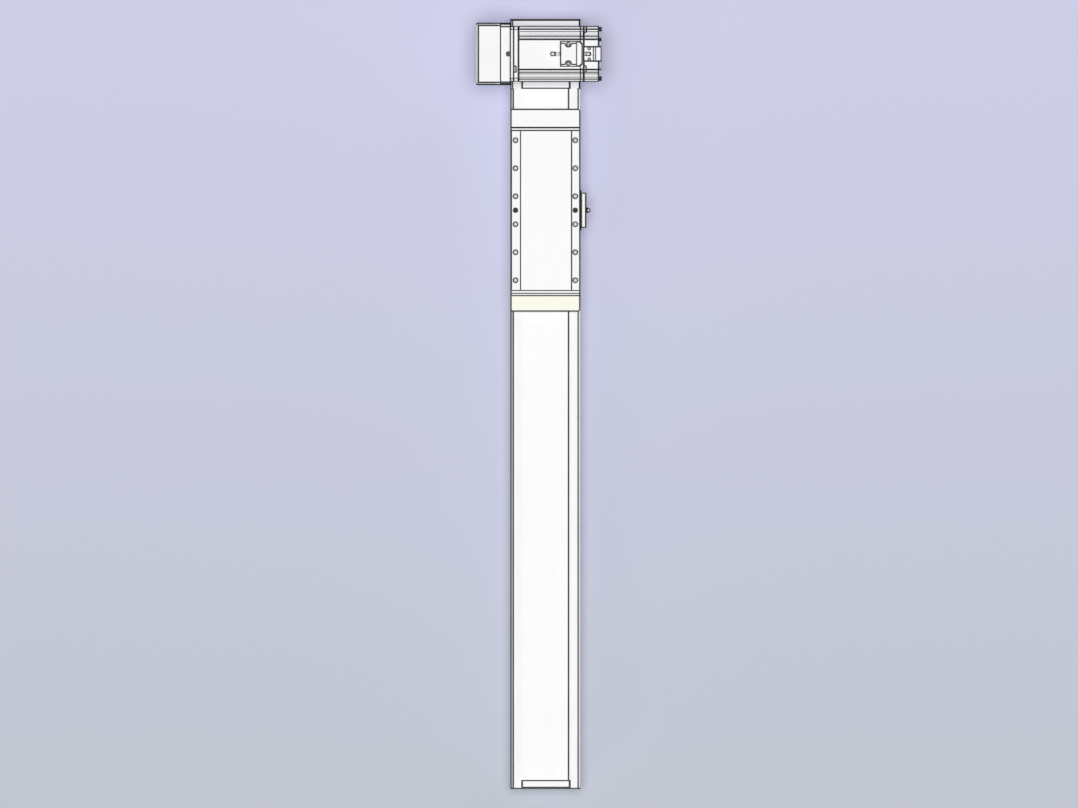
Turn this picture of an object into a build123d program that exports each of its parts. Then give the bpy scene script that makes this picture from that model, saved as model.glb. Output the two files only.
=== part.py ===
from build123d import *
import os
from math import ceil, cos, pi, radians, sin, tan

os.makedirs("parts", exist_ok=True)

# Belt-driven linear actuator with a strip-covered slot and a motor folded over its drive end.
# Frame: X across the body, Y along it towards the drive end, Z up from the mounting face.
# The origin is on the mounting face, midway along the extrusion and on its centre line.
# All sizes are in millimetres, and angles are in degrees.

# Clearances
turn_gap = 0.04         # radial, a shaft or roller that turns in or on its mate
seat_gap = 0.02         # a piece held by its neighbour
pass_gap = 0.5          # around a screw or shaft that only passes through
pulley_side_gap = 1.2   # beside a pulley
tip_gap = 0.5           # between a screw's tip and the bottom of its hole
slide_gap = 0.4         # between pieces that slide past each other

# Screw heads, as shares of the screw's size
socket_head = 0.83
socket_key = 0.48
key_depth = 0.5
head_pocket = 0.9       # radius of a counterbore for a socket head
flat_head = 0.9
flat_head_angle = 80.0

# Extruded body
body_width = 75.0
body_height = 60.0
body_length = 750.0
edge_chamfer = 3.0
side_wall = 6.0
lip_thickness = 4.4
floor_thickness = 8.0
duct_width = 27.0
duct_height = 9.0
rail_seat = 22.0
side_groove_width = 3.4
side_groove_depth = 4.2
side_groove_height = 19.5
chamber_width = 5.0
chamber_height = 11.0
chamber_place = 18.0
corner_boss_width = 9.0
corner_boss_height = 10.0
core_diameter = 5.0     # screw bores that run the whole length
core_from_edge = 7.5
core_low = 8.0
core_from_top = 7.0
mount_thread = 5.0      # bore of the tapped holes in the mounting face
mount_depth = 12.0
mount_spread = 48.0
mount_pitch = 120.0
mount_rows = 6

# Dust strip and what holds it
strip_inset = 12.5      # of the strip's edges from the body's sides
strip_overlap = 4.0     # of the strip over each lip of the slot
strip_thickness = 0.3
strip_side_gap = 0.9    # open on one side only, as the strip lies against the other
strip_recess_depth = 0.4
strip_end_margin = 1.0
strip_bend = 15.0
bend_before_roller = 1.4
magnet_width = 3.0
magnet_thickness = 1.2
clamp_overhang = 0.9    # of a clamp over the strip's edge
clamp_length = 8.6
clamp_height = 3.5
clamp_peg = 3.0
clamp_peg_inset = 1.7   # of a peg from the strip's edge
clamp_chamfer = 1.0

# Toothed belts
belt_pitch = 5.0
belt_thickness = 2.7
tooth_height = 1.2
tooth_tip = 2.5
tooth_flank = 25.0
pitch_line = 0.615      # from the land between the teeth out to the cords
mesh_gap = 0.12
drive_belt_width = 20.0
transfer_belt_width = 15.0
pulley_teeth = 24
flange_thickness = 1.5
flange_rise = 0.9       # of a pulley flange over the back of its belt

# Shafts
spindle_height = 31.0
shaft_diameter = 15.0
motor_shaft_diameter = 14.0
idler_axle_diameter = 12.0
idler_bearing_diameter = 28.0
idler_bearing_width = 8.0
idler_bearing_inset = 1.5
key_size = 5.0
key_seat = 3.0          # depth of a key in its shaft
key_length = 12.0
shaft_chamfer = 0.8
shaft_end_reach = 1.5   # of the shaft past its right bearing
shield_recess = 0.6     # of a bearing's shields

# Drive housing
housing_length = 75.0
housing_chamfer = 1.6
spindle_from_end = 37.5
belt_back_gap = 2.5
bearing_diameter = 32.0
bearing_width = 9.0
bearing_inset = 17.5    # inner face of each bearing, from the centre line
shoulder_diameter = 27.0
hub_diameter = 23.0
cap_diameter = 44.0
cap_thickness = 3.0
cap_screw_circle = 38.0
cap_screw_grip = 7.0
housing_screw_flange = 15.0
housing_screw_length = 30.0

# Guide rail and its blocks
rail_width = 15.0
rail_height = 12.5
rail_waist = 12.4
rail_grooves = (3.4, 5.2, 7.3, 9.1)
rail_edge = 0.5
rail_counterbore = 5.3
rail_tip_gap = 0.3      # of the screw tips over the belt's duct
rail_end_gap = 2.5
idler_front_gap = 4.0   # between the idler and the front of its pocket in the floor
rail_pocket_gap = 1.0
rail_pitch = 60.0
rail_screw = 4.0
block_width = 34.0
block_length = 39.8
block_cap_length = 8.5
block_cap_inset = 0.4
block_rise = 4.5        # of the underside of a block over the rail's base
block_height = 24.0     # from the rail's base to the top of a block
block_end_inset = 0.35  # of the blocks' end caps from the table's ends
block_screw_pitch = 26.0
block_screw = 4.0
block_screw_grip = 6.0
block_edge = 0.8
block_cap_edge = 1.2

# Carriage
carriage_steps = 33     # whole belt pitches from the spindle to the carriage, as drawn
table_length = 172.5
table_rise = 12.0       # of the lands over the body's top
table_gap = 1.0         # between the body's top and the table
neck_side_gap = 1.3
land_width = 10.2
tunnel_side_gap = 1.2
tunnel_rise = 4.5
window_rise = 1.5       # of the window over the tunnel's floor
ramp_length = 10.2
ramp_drop = 3.2
plate_thickness = 3.5
plate_drop = 0.4        # of the cover plate under the lands
tongue_width = 1.0
tongue_thickness = 1.4
load_thread = 5.0       # bore of the tapped holes in the lands
load_pitch = 30.0
load_rows = 6
load_from_edge = 5.5
load_depth = 10.0
dowel_diameter = 4.0
dowel_depth = 8.0
table_chamfer = 0.6
adapter_thickness = 2.1
wiper_drive_thickness = 1.1
wiper_tail_thickness = 2.1
wiper_gap = 0.35
end_length = 22.5       # of adapter, wiper and end cover together
end_gap = 0.8           # between the body's top and an end cover
end_wall = 2.0
end_corner = 2.0
end_screw = 3.0
end_screw_from_edge = 5.5
end_screw_rise = 6.5
end_screw_grip = 7.5
end_screw_seat = 4.0
end_screw_pocket = 3.2
roller_diameter = 6.0
roller_pin = 3.0
roller_pin_grip = 2.3   # of a roller's pin in each side of its cover
roller_end_gap = 1.0
roller_from_end = 5.4
belt_clamp_end_gap = 1.7
belt_clamp_middle_gap = 1.2
belt_clamp_width = 38.0
belt_clamp_thickness = 4.0
belt_clamp_screw = 4.0
belt_clamp_spread = 30.0
belt_clamp_grip = 9.0
belt_clamp_hole_inset = 4.4
belt_end_gap = 1.2

# Grease port on the carriage's side
gasket_length = 43.4
gasket_height = 9.0
gasket_thickness = 1.1
gasket_corner = 1.5
port_length = 38.0
port_height = 8.0
port_thickness = 5.4
port_rise = 6.8
port_screw_spread = 16.0
port_screw_length = 12.0
nipple_diameter = 5.9
nipple_length = 4.3
nipple_seat = 2.0       # radius of the nipple's tail
nipple_reach = 3.0
nipple_neck = 0.6       # radius of the nipple's neck, ball and mouth, as shares of its collar's
nipple_ball = 0.8
nipple_mouth = 0.5

# Tail end
idler_from_end = 27.5
bracket_length = 36.0
bracket_side_gap = 0.3
bracket_low_gap = 0.2
bracket_bridge = 3.0
tail_plate_thickness = 5.0
tension_screw = 5.0
tension_from_wall = 11.5
tension_height = 42.0
tension_grip = 14.0
tail_screw = 3.0
tail_screw_low = 28.0
tail_screw_high = 44.0
tail_screw_length = 12.0
bumper_diameter = 5.6
bumper_length = 7.75
bumper_post_length = 20.5
bumper_side_gap = 0.7   # between a bumper and the idler's channel
bumper_drop = 5.1       # below the cavity's ceiling

# Transfer box
box_length = 67.0       # along the body
box_low = 1.0
box_margin = 33.5       # over the motor's axis
box_depth = 37.1        # base plate and cover together
base_plate_thickness = 11.3
box_wall = 2.5
box_fillet = 2.0
box_corner = 2.2
transfer_pulley_gap = 1.4
plate_screw = 5.0
plate_screw_spread = 54.0
plate_screw_low = 20.0
plate_screw_high = 43.0
plate_screw_length = 18.0
housing_plate_screw_length = 22.0
plate_counterbore = 5.3
cover_post = 7.6
cover_post_spread = 54.8
cover_screw = 4.0
cover_screw_grip = 6.0
cover_head_sink = 0.4   # of the cover's screw heads under its face
jack_diameter = 4.6
jack_head = 1.6
jack_inset = 2.2
jack_depth = 6.0
jack_thread = 3.8

# Motor
motor_frame = 60.0
motor_gap = 4.0         # least height left between the motor and the housing
motor_flange_thickness = 9.1
motor_flange_step = 3.3
motor_flange_cut = 3.8
flange_inset = 0.4
flange_notch_width = 2.6
flange_notch_length = 6.4
flange_notch_depth = 1.0
flange_notch_from_step = 1.6
motor_body_length = 65.9
motor_bracket_length = 3.6
encoder_length = 16.4
encoder_pad = 2.4
encoder_pad_width = 34.8
motor_side_flat = 16.3
motor_shelf = 19.5
motor_corner = 27.0
motor_scallop = 5.5
motor_bolt_square = 49.5
motor_bolt = 5.0
motor_bolt_length = 12.0
motor_shaft_hole = 22.0
motor_pilot = 50.0
motor_pilot_depth = 3.0
stator_diameter = 51.0
stator_bore = 36.0
stator_end_gap = 4.0
rotor_diameter = 34.0
rotor_clearance = 2.0
motor_bearing_diameter = 30.0
motor_bearing_width = 8.0
rear_bearing_diameter = 26.0
rear_bearing_width = 7.0
rear_journal = 10.0
encoder_wall = 2.5
encoder_bore = 46.0
encoder_screw = 3.0
encoder_screw_from_edge = 3.6
encoder_screw_rise = 12.0
encoder_screw_depth = 8.0
lug_length = 2.4
side_lug_width = 6.4
side_lug_low = 16.0
side_lug_high = 26.5
top_lug_width = 6.8
top_lug_side = 16.1
top_lug_half_height = 1.0

# Connectors on the motor
power_length = 24.2
power_overhang = 2.3    # past the end of the motor's body
power_lip = 0.6
power_foot = 6.4
power_half = 13.9
power_body_half = 11.3
power_back_half = 12.8
power_base_height = 4.5
power_body_height = 12.0
power_back_height = 8.0
power_corner = 2.5
power_screw_place = 9.0
power_screw_side = 10.7
encoder_plug_length = 18.9
encoder_plug_gap = 0.2  # from the rear bracket's end
encoder_step_place = 10.1
encoder_ridge_place = 12.4
encoder_half = 8.55
encoder_base_height = 3.5
encoder_step_height = 5.2
encoder_block_height = 8.0
encoder_plug_screw = 2.5
encoder_plug_screw_place = 5.6
encoder_plug_screw_side = 5.9
screw_pocket = 3.3
jack_length = 5.8
jack_head_radius = 2.4
jack_shank_radius = 2.0
jack_point = 1.0
jack_lift = 0.1         # of a jack screw's head over the connector's foot
power_jack_reach = 4.9
encoder_jack_reach = 2.3

# Places that follow from the sizes
half_body = body_width / 2
strip_width = body_width - 2 * strip_inset
slot_width = strip_width - 2 * strip_overlap
clamp_width = strip_width + 2 * clamp_overhang
drive_face = body_length / 2
tail_face = -body_length / 2
cavity_half = half_body - side_wall
cavity_top = body_height - lip_thickness
spindle_y = drive_face + spindle_from_end
pulley_distance = belt_pitch * round((spindle_y - tail_face - idler_from_end) / belt_pitch)
idler_y = spindle_y - pulley_distance
motor_drop = motor_frame / 2 + motor_gap
shaft_distance = belt_pitch * ceil((body_height + motor_drop - spindle_height) / belt_pitch)
motor_z = spindle_height + shaft_distance
carriage_place = spindle_y - (carriage_steps + 0.5) * belt_pitch
recess_width = strip_width + strip_side_gap
recess_floor = body_height - strip_recess_depth
strip_x = -strip_side_gap / 2
magnet_x = (recess_width + slot_width) / 4
pitch_radius = pulley_teeth * belt_pitch / (2 * pi)
land_radius = pitch_radius - pitch_line
tip_radius = land_radius - tooth_height
back_radius = tip_radius + belt_thickness
flange_radius = back_radius + flange_rise
tooth_base = tooth_tip + 2 * tooth_height * tan(radians(tooth_flank))
pulley_face = drive_belt_width / 2 + pass_gap
pulley_half = pulley_face + flange_thickness
pocket_half = pulley_half + pulley_side_gap
block_top = rail_seat + block_height
block_spacing = table_length - block_length - 2 * (block_cap_length + block_end_inset)
clamp_room = (block_spacing - block_length - belt_clamp_middle_gap) / 2 - block_cap_length
belt_clamp_length = clamp_room - belt_clamp_end_gap
belt_clamp_pitch = belt_clamp_length - 2 * belt_clamp_hole_inset
ridge_teeth = int(belt_clamp_length / belt_pitch)
saddle_z = spindle_height + back_radius + turn_gap
table_low = body_height + table_gap
table_height = body_height + table_rise
tunnel_floor = body_height + tunnel_rise
neck_half = slot_width / 2 - neck_side_gap
table_end = table_length / 2
tunnel_half = strip_width / 2 + tunnel_side_gap


# Work planes
def across(y):
    """Section across the body at y, facing the tail: local x is X and local y is Z."""
    return Plane.XZ.offset(-y)


def beside(x, y=0.0, z=0.0):
    """Section along the body at x, facing right: local x is Y and local y is Z."""
    return Plane(origin=(x, y, z), x_dir=(0, 1, 0), z_dir=(1, 0, 0))


def level(z):
    """Plan at height z: local x is X and local y is Y."""
    return Plane.XY.offset(z)


def toward_drive(y):
    """Section at y that faces the drive end: local x is -X and local y is Z."""
    return Plane(origin=(0, y, 0), x_dir=(-1, 0, 0), z_dir=(0, 1, 0))


# Outlines that neighbours share
def cavity_outline(gap):
    """Corners of the body's main cavity, drawn in by a gap."""
    half = cavity_half - gap
    top = cavity_top - gap
    right = [(half, rail_seat + gap), (half, top - corner_boss_height), (half - corner_boss_width, top)]
    return right + [(-x, z) for x, z in reversed(right)]


def rail_outline(gap):
    """Corners of the guide rail's section, grown by a gap."""
    wide = rail_width / 2 + gap
    waist = rail_waist / 2 + gap
    low, waist_low, waist_high, high = rail_grooves
    top = rail_height + gap
    right = [
        (wide, -gap),
        (wide, low),
        (waist, waist_low),
        (waist, waist_high),
        (wide, high),
        (wide, top - rail_edge),
        (wide - rail_edge, top),
    ]
    outline = right + [(-x, z) for x, z in reversed(right)]
    return [(x, rail_seat + z) for x, z in outline]


# Shapes that repeat
def socket_screws(plane, spots, size, length):
    """Cap screws whose heads stand on the plane and whose shanks go down from it."""
    with BuildPart() as screws:
        with BuildSketch(plane):
            with Locations(*spots):
                Circle(socket_head * size)
        extrude(amount=size)
        with BuildSketch(plane.offset(size)):
            with Locations(*spots):
                RegularPolygon(socket_key * size, 6)
        extrude(amount=-key_depth * size, mode=Mode.SUBTRACT)
        with BuildSketch(plane):
            with Locations(*spots):
                Circle(size / 2 - seat_gap)
        extrude(amount=-length)
    return screws


def flat_screws(plane, spots, size, length):
    """Countersunk screws whose heads lie flush with the plane."""
    head_depth = (flat_head - 0.5) * size / tan(radians(flat_head_angle / 2))
    with BuildPart() as screws:
        with Locations(plane):
            with Locations(*[(x, y, 0) for x, y in spots]):
                Cone(size / 2, flat_head * size, head_depth, align=(Align.CENTER, Align.CENTER, Align.MAX))
        with BuildSketch(plane):
            with Locations(*spots):
                Circle(size / 2 - seat_gap)
        extrude(amount=-length)
    return screws


def tooth_points(place, direction, radius_gap, side_gap):
    """Four corners of one belt tooth, from a point on the pitch line and the way it points."""
    inward = Vector(*direction)
    along = Vector(-inward.Y, inward.X)
    land = pitch_line + radius_gap
    tip = pitch_line + tooth_height + radius_gap
    half_base = tooth_base / 2 + side_gap
    half_tip = tooth_tip / 2 + side_gap
    corners = [(-half_base, land), (-half_tip, tip), (half_tip, tip), (half_base, land)]
    return [Vector(*place) + along * side + inward * depth for side, depth in corners]


def pulley_outline(radius_gap, side_gap):
    """Corners of a toothed pulley about the local origin, with its grooves cut."""
    points = []
    for index in range(pulley_teeth):
        angle = 2 * pi * index / pulley_teeth
        outward = Vector(cos(angle), sin(angle))
        groove = tooth_points(outward * pitch_radius, -outward, radius_gap, side_gap)
        points += reversed(groove)
    return points


def belt_outline(distance):
    """Corners of the toothed inside of a belt whose pulleys lie at (0, 0) and (-distance, 0)."""
    steps = round(distance / belt_pitch)
    half_turn = pulley_teeth // 2
    points = []
    for index in range(steps):
        points += tooth_points((-index * belt_pitch, pitch_radius), (0, -1), 0, 0)[::-1]
    for index in range(half_turn):
        angle = pi / 2 + pi * index / half_turn
        outward = Vector(cos(angle), sin(angle))
        place = outward * pitch_radius - Vector(distance, 0)
        points += tooth_points(place, -outward, 0, 0)[::-1]
    for index in range(steps):
        points += tooth_points((index * belt_pitch - distance, -pitch_radius), (0, 1), 0, 0)[::-1]
    for index in range(half_turn):
        angle = -pi / 2 + pi * index / half_turn
        outward = Vector(cos(angle), sin(angle))
        points += tooth_points(outward * pitch_radius, -outward, 0, 0)[::-1]
    return points


def toothed_belt(plane, distance, width):
    """A belt around two pulleys, the first on the plane's origin, the other along its -x."""
    with BuildPart() as belt:
        with BuildSketch(plane):
            with Locations((-distance / 2, 0)):
                SlotCenterToCenter(distance, 2 * back_radius)
            with BuildLine():
                Polyline(*belt_outline(distance), close=True)
            make_face(mode=Mode.SUBTRACT)
        extrude(amount=width / 2, both=True)
    return belt


def toothed_pulley(plane, face, bore, hub_half, key_side):
    """A flanged pulley about the plane's origin, with a keyway when it has a key side."""
    with BuildPart() as pulley:
        with BuildSketch(plane):
            with BuildLine():
                Polyline(*pulley_outline(mesh_gap, mesh_gap), close=True)
            make_face()
        extrude(amount=face, both=True)
        for side in (-1, 1):
            with BuildSketch(plane.offset(side * face)):
                Circle(flange_radius)
            extrude(amount=side * flange_thickness)
        if hub_half > face + flange_thickness:
            with BuildSketch(plane):
                Circle(hub_diameter / 2)
            extrude(amount=hub_half, both=True)
        with BuildSketch(plane):
            Circle(bore / 2)
            if key_side:
                with Locations((0, key_side * bore / 2)):
                    Rectangle(key_size + 2 * seat_gap, 2 * (key_size - key_seat) + pass_gap)
        extrude(amount=hub_half, both=True, mode=Mode.SUBTRACT)
    return pulley


def ball_bearing(plane, outer, inner, width):
    """A shielded ball bearing that stands on the plane, with its rings shown by grooves."""
    middle = (outer + inner) / 4
    gap_half = (outer - inner) / 10
    with BuildPart() as bearing:
        with BuildSketch(plane):
            Circle(outer / 2)
            Circle(inner / 2, mode=Mode.SUBTRACT)
        extrude(amount=width)
        for face in (plane, plane.offset(width - shield_recess)):
            with BuildSketch(face):
                Circle(middle + gap_half)
                Circle(middle - gap_half, mode=Mode.SUBTRACT)
            extrude(amount=shield_recess, mode=Mode.SUBTRACT)
    return bearing


# Base extrusion
peg_spots = [(side * (strip_width / 2 - clamp_peg_inset), 0) for side in (-1, 1)]
core_heights = (core_low, body_height - core_from_top)
core_spots = [(side * (half_body - core_from_edge), z) for side in (-1, 1) for z in core_heights]
clamp_tail_y = tail_face + strip_end_margin + clamp_length / 2
clamp_drive_y = drive_face + clamp_length / 2
idler_pocket_front = idler_y + flange_radius + idler_front_gap
rail_tail_end = idler_pocket_front + rail_pocket_gap
rail_drive_end = drive_face - rail_end_gap
rail_middle = (rail_tail_end + rail_drive_end) / 2
rail_holes = int((rail_drive_end - rail_tail_end) / rail_pitch) + 1
tail_plate_y = tail_face + tail_plate_thickness / 2
magnet_tail_end = clamp_tail_y + clamp_length
magnet_length = drive_face - magnet_tail_end


def side_seat(side):
    """Plane on one side of the body, level with the tail end plate's screws."""
    return Plane(origin=(side * half_body, tail_plate_y, 0), x_dir=(0, side, 0), z_dir=(side, 0, 0))


with BuildPart() as base_extrusion:
    with BuildSketch(across(drive_face)):
        Rectangle(body_width, body_height, align=(Align.CENTER, Align.MIN))
        chamfer(vertices().group_by(Axis.Y)[-1], edge_chamfer)
        with BuildLine():
            Polyline(*cavity_outline(0), close=True)
        make_face(mode=Mode.SUBTRACT)
        with Locations((0, cavity_top)):
            Rectangle(slot_width, lip_thickness, align=(Align.CENTER, Align.MIN), mode=Mode.SUBTRACT)
        with Locations((0, recess_floor)):
            Rectangle(recess_width, strip_recess_depth, align=(Align.CENTER, Align.MIN), mode=Mode.SUBTRACT)
        with Locations((0, floor_thickness)):
            Rectangle(duct_width, duct_height, align=(Align.CENTER, Align.MIN), mode=Mode.SUBTRACT)
        with Locations((-magnet_x, recess_floor), (magnet_x, recess_floor)):
            Rectangle(magnet_width, magnet_thickness, align=(Align.CENTER, Align.MAX), mode=Mode.SUBTRACT)
        with Locations((-chamber_place, rail_seat / 2), (chamber_place, rail_seat / 2)):
            Rectangle(chamber_width, chamber_height, mode=Mode.SUBTRACT)
        with Locations((-half_body, side_groove_height), (half_body, side_groove_height)):
            Rectangle(2 * side_groove_depth, side_groove_width, mode=Mode.SUBTRACT)
        with Locations(*core_spots):
            Circle(core_diameter / 2, mode=Mode.SUBTRACT)
    extrude(amount=body_length)
    with BuildSketch(level(0)):
        with GridLocations(mount_spread, mount_pitch, 2, mount_rows):
            Circle(mount_thread / 2)
    extrude(amount=mount_depth, mode=Mode.SUBTRACT)
    with BuildSketch(level(floor_thickness)):
        with Locations((0, (tail_face + idler_pocket_front) / 2)):
            Rectangle(2 * flange_radius, idler_pocket_front - tail_face)
    extrude(amount=rail_seat - floor_thickness, mode=Mode.SUBTRACT)
    with BuildSketch(level(rail_seat)):
        with Locations((0, rail_middle)):
            with GridLocations(0, rail_pitch, 1, rail_holes):
                Circle(rail_screw / 2)
    extrude(amount=-(rail_seat - floor_thickness - duct_height), mode=Mode.SUBTRACT)
    with BuildSketch(level(recess_floor)):
        with Locations((0, clamp_tail_y)):
            with Locations(*peg_spots):
                Circle(clamp_peg / 2)
    extrude(amount=-lip_thickness, mode=Mode.SUBTRACT)
    for side in (-1, 1):
        with Locations(side_seat(side)):
            with Locations(*[(0, z, 0) for z in (tail_screw_low, tail_screw_high)]):
                CounterSinkHole(tail_screw / 2, flat_head * tail_screw, side_wall, flat_head_angle)
base_extrusion.part.label = "base_extrusion"
export_step(base_extrusion.part, "parts/base_extrusion.step")

# Guide rail and its screws
rail_top = rail_seat + rail_height
rail_spots = [(0, rail_middle + (index - (rail_holes - 1) / 2) * rail_pitch) for index in range(rail_holes)]
rail_screw_seat = rail_top - rail_counterbore
duct_top = floor_thickness + duct_height

with BuildPart() as guide_rail:
    with BuildSketch(across(rail_drive_end)):
        with BuildLine():
            Polyline(*rail_outline(0), close=True)
        make_face()
    extrude(amount=rail_drive_end - rail_tail_end)
    with BuildSketch(level(rail_top)):
        with Locations(*rail_spots):
            Circle(head_pocket * rail_screw)
    extrude(amount=-rail_counterbore, mode=Mode.SUBTRACT)
    with BuildSketch(level(rail_seat)):
        with Locations(*rail_spots):
            Circle((rail_screw + pass_gap) / 2)
    extrude(amount=rail_height, mode=Mode.SUBTRACT)
guide_rail.part.label = "guide_rail"
export_step(guide_rail.part, "parts/guide_rail.step")

rail_screws = socket_screws(
    level(rail_screw_seat), rail_spots, rail_screw, rail_screw_seat - duct_top - rail_tip_gap
)
rail_screws.part.label = "rail_screws"
export_step(rail_screws.part, "parts/rail_screws.step")

# Magnet strips under the dust strip's edges
with BuildPart() as magnet_strips:
    with BuildSketch(across(drive_face)):
        with Locations((-magnet_x, recess_floor), (magnet_x, recess_floor)):
            Rectangle(magnet_width, magnet_thickness, align=(Align.CENTER, Align.MAX))
    extrude(amount=magnet_length)
magnet_strips.part.label = "magnet_strips"
export_step(magnet_strips.part, "parts/magnet_strips.step")

# Dust strip, lying in the body's recess and rising through the carriage
roller_reach = table_end + end_length - roller_from_end
strip_low = recess_floor + strip_thickness / 2
strip_high = tunnel_floor + slide_gap + strip_thickness / 2
low_bend = roller_reach - bend_before_roller
high_bend = table_end - ramp_length
strip_tail_end = tail_face + strip_end_margin
strip_drive_end = drive_face + clamp_length

with BuildPart() as dust_strip:
    with BuildSketch(beside(strip_x)):
        with BuildLine():
            FilletPolyline(
                (strip_tail_end, strip_low),
                (carriage_place - low_bend, strip_low),
                (carriage_place - high_bend, strip_high),
                (carriage_place + high_bend, strip_high),
                (carriage_place + low_bend, strip_low),
                (strip_drive_end, strip_low),
                radius=strip_bend,
            )
        trace(line_width=strip_thickness)
    extrude(amount=strip_width / 2, both=True)
    with BuildSketch(level(recess_floor)):
        with Locations((0, clamp_tail_y), (0, clamp_drive_y)):
            with Locations(*peg_spots):
                Circle(clamp_peg / 2 + seat_gap)
    extrude(amount=strip_thickness, mode=Mode.SUBTRACT)
dust_strip.part.label = "dust_strip"
export_step(dust_strip.part, "parts/dust_strip.step")

# Strip clamps, one at each end, each held by two pegs
with BuildPart() as strip_clamps:
    for y, outer in ((clamp_tail_y, -1), (clamp_drive_y, 1)):
        with BuildSketch(level(body_height)):
            with Locations((0, y)):
                Rectangle(clamp_width, clamp_length)
            chamfer(vertices().sort_by(Axis.Y)[::-outer][:2], clamp_chamfer)
        extrude(amount=clamp_height)
        with BuildSketch(level(body_height)):
            with Locations((0, y)):
                with Locations(*peg_spots):
                    Circle(clamp_peg / 2 - seat_gap)
        extrude(amount=-lip_thickness + strip_recess_depth)
strip_clamps.part.label = "strip_clamps"
export_step(strip_clamps.part, "parts/strip_clamps.step")

# Drive housing
cap_seat = half_body - cap_thickness
cap_screw_reach = cap_screw_circle / 2 * cos(pi / 4)
cap_screw_spots = [(a * cap_screw_reach, b * cap_screw_reach) for a in (-1, 1) for b in (-1, 1)]
housing_screw_seat = drive_face + housing_screw_flange
plate_screw_spots = [
    (side * plate_screw_spread / 2, z - spindle_height)
    for side in (-1, 1)
    for z in (plate_screw_low, plate_screw_high)
]

with BuildPart() as drive_housing:
    with BuildSketch(across(drive_face + housing_length)):
        Rectangle(body_width, body_height, align=(Align.CENTER, Align.MIN))
        chamfer(vertices().group_by(Axis.Y)[-1], housing_chamfer)
    extrude(amount=housing_length)
    with BuildSketch(beside(0, spindle_y, spindle_height)):
        Circle(back_radius + belt_back_gap)
        Rectangle(spindle_from_end, 2 * (back_radius + belt_back_gap), align=(Align.MAX, Align.CENTER))
    extrude(amount=pocket_half, both=True, mode=Mode.SUBTRACT)
    with BuildSketch(beside(0, spindle_y, spindle_height)):
        Circle(shoulder_diameter / 2)
    extrude(amount=half_body, both=True, mode=Mode.SUBTRACT)
    for side in (-1, 1):
        with BuildSketch(beside(side * bearing_inset, spindle_y, spindle_height)):
            Circle(bearing_diameter / 2)
        extrude(amount=side * (half_body - bearing_inset), mode=Mode.SUBTRACT)
    with BuildSketch(beside(cap_seat, spindle_y, spindle_height)):
        Circle(cap_diameter / 2)
    extrude(amount=cap_thickness, mode=Mode.SUBTRACT)
    with BuildSketch(beside(cap_seat, spindle_y, spindle_height)):
        with Locations(*cap_screw_spots):
            Circle(end_screw / 2)
    extrude(amount=-cap_screw_grip - tip_gap, mode=Mode.SUBTRACT)
    with BuildSketch(across(drive_face + housing_length)):
        with Locations(*core_spots):
            Circle(head_pocket * core_diameter)
    extrude(amount=drive_face + housing_length - housing_screw_seat, mode=Mode.SUBTRACT)
    with BuildSketch(across(housing_screw_seat)):
        with Locations(*core_spots):
            Circle((core_diameter + pass_gap) / 2)
    extrude(amount=housing_screw_seat - drive_face, mode=Mode.SUBTRACT)
    with BuildSketch(beside(-half_body, spindle_y, spindle_height)):
        with Locations(*plate_screw_spots):
            Circle(plate_screw / 2)
    extrude(amount=plate_screw_length, mode=Mode.SUBTRACT)
    with BuildSketch(level(body_height)):
        with Locations((0, drive_face)):
            Rectangle(recess_width, clamp_length, align=(Align.CENTER, Align.MIN))
    extrude(amount=-strip_recess_depth, mode=Mode.SUBTRACT)
    with BuildSketch(level(recess_floor)):
        with Locations((0, clamp_drive_y)):
            with Locations(*peg_spots):
                Circle(clamp_peg / 2)
    extrude(amount=-lip_thickness, mode=Mode.SUBTRACT)
drive_housing.part.label = "drive_housing"
export_step(drive_housing.part, "parts/drive_housing.step")

housing_screws = socket_screws(
    toward_drive(housing_screw_seat), core_spots, core_diameter, housing_screw_length
)
housing_screws.part.label = "housing_screws"
export_step(housing_screws.part, "parts/housing_screws.step")

# Drive shaft bearings and their retaining cap
with BuildPart() as drive_bearings:
    for x in (bearing_inset, -bearing_inset - bearing_width):
        add(
            ball_bearing(
                beside(x, spindle_y, spindle_height),
                bearing_diameter - 2 * seat_gap,
                shaft_diameter + 2 * turn_gap,
                bearing_width,
            ).part
        )
drive_bearings.part.label = "drive_bearings"
export_step(drive_bearings.part, "parts/drive_bearings.step")

with BuildPart() as bearing_cap:
    with BuildSketch(beside(cap_seat, spindle_y, spindle_height)):
        Circle(cap_diameter / 2 - seat_gap)
    extrude(amount=cap_thickness)
    with BuildSketch(beside(cap_seat, spindle_y, spindle_height)):
        Circle(bearing_diameter / 2 - seat_gap)
        Circle(hub_diameter / 2, mode=Mode.SUBTRACT)
    extrude(amount=-(cap_seat - bearing_inset - bearing_width))
    with Locations(beside(half_body, spindle_y, spindle_height)):
        with Locations(*[(x, y, 0) for x, y in cap_screw_spots]):
            CounterSinkHole(end_screw / 2, flat_head * end_screw, counter_sink_angle=flat_head_angle)
bearing_cap.part.label = "bearing_cap"
export_step(bearing_cap.part, "parts/bearing_cap.step")

# Idler bracket, an upside-down channel over the idler pulley, with its axle
bracket_front = idler_y + bracket_length / 2
bracket_back = idler_y - bracket_length / 2
tension_spots = [(side * (cavity_half - tension_from_wall), tension_height) for side in (-1, 1)]

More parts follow.
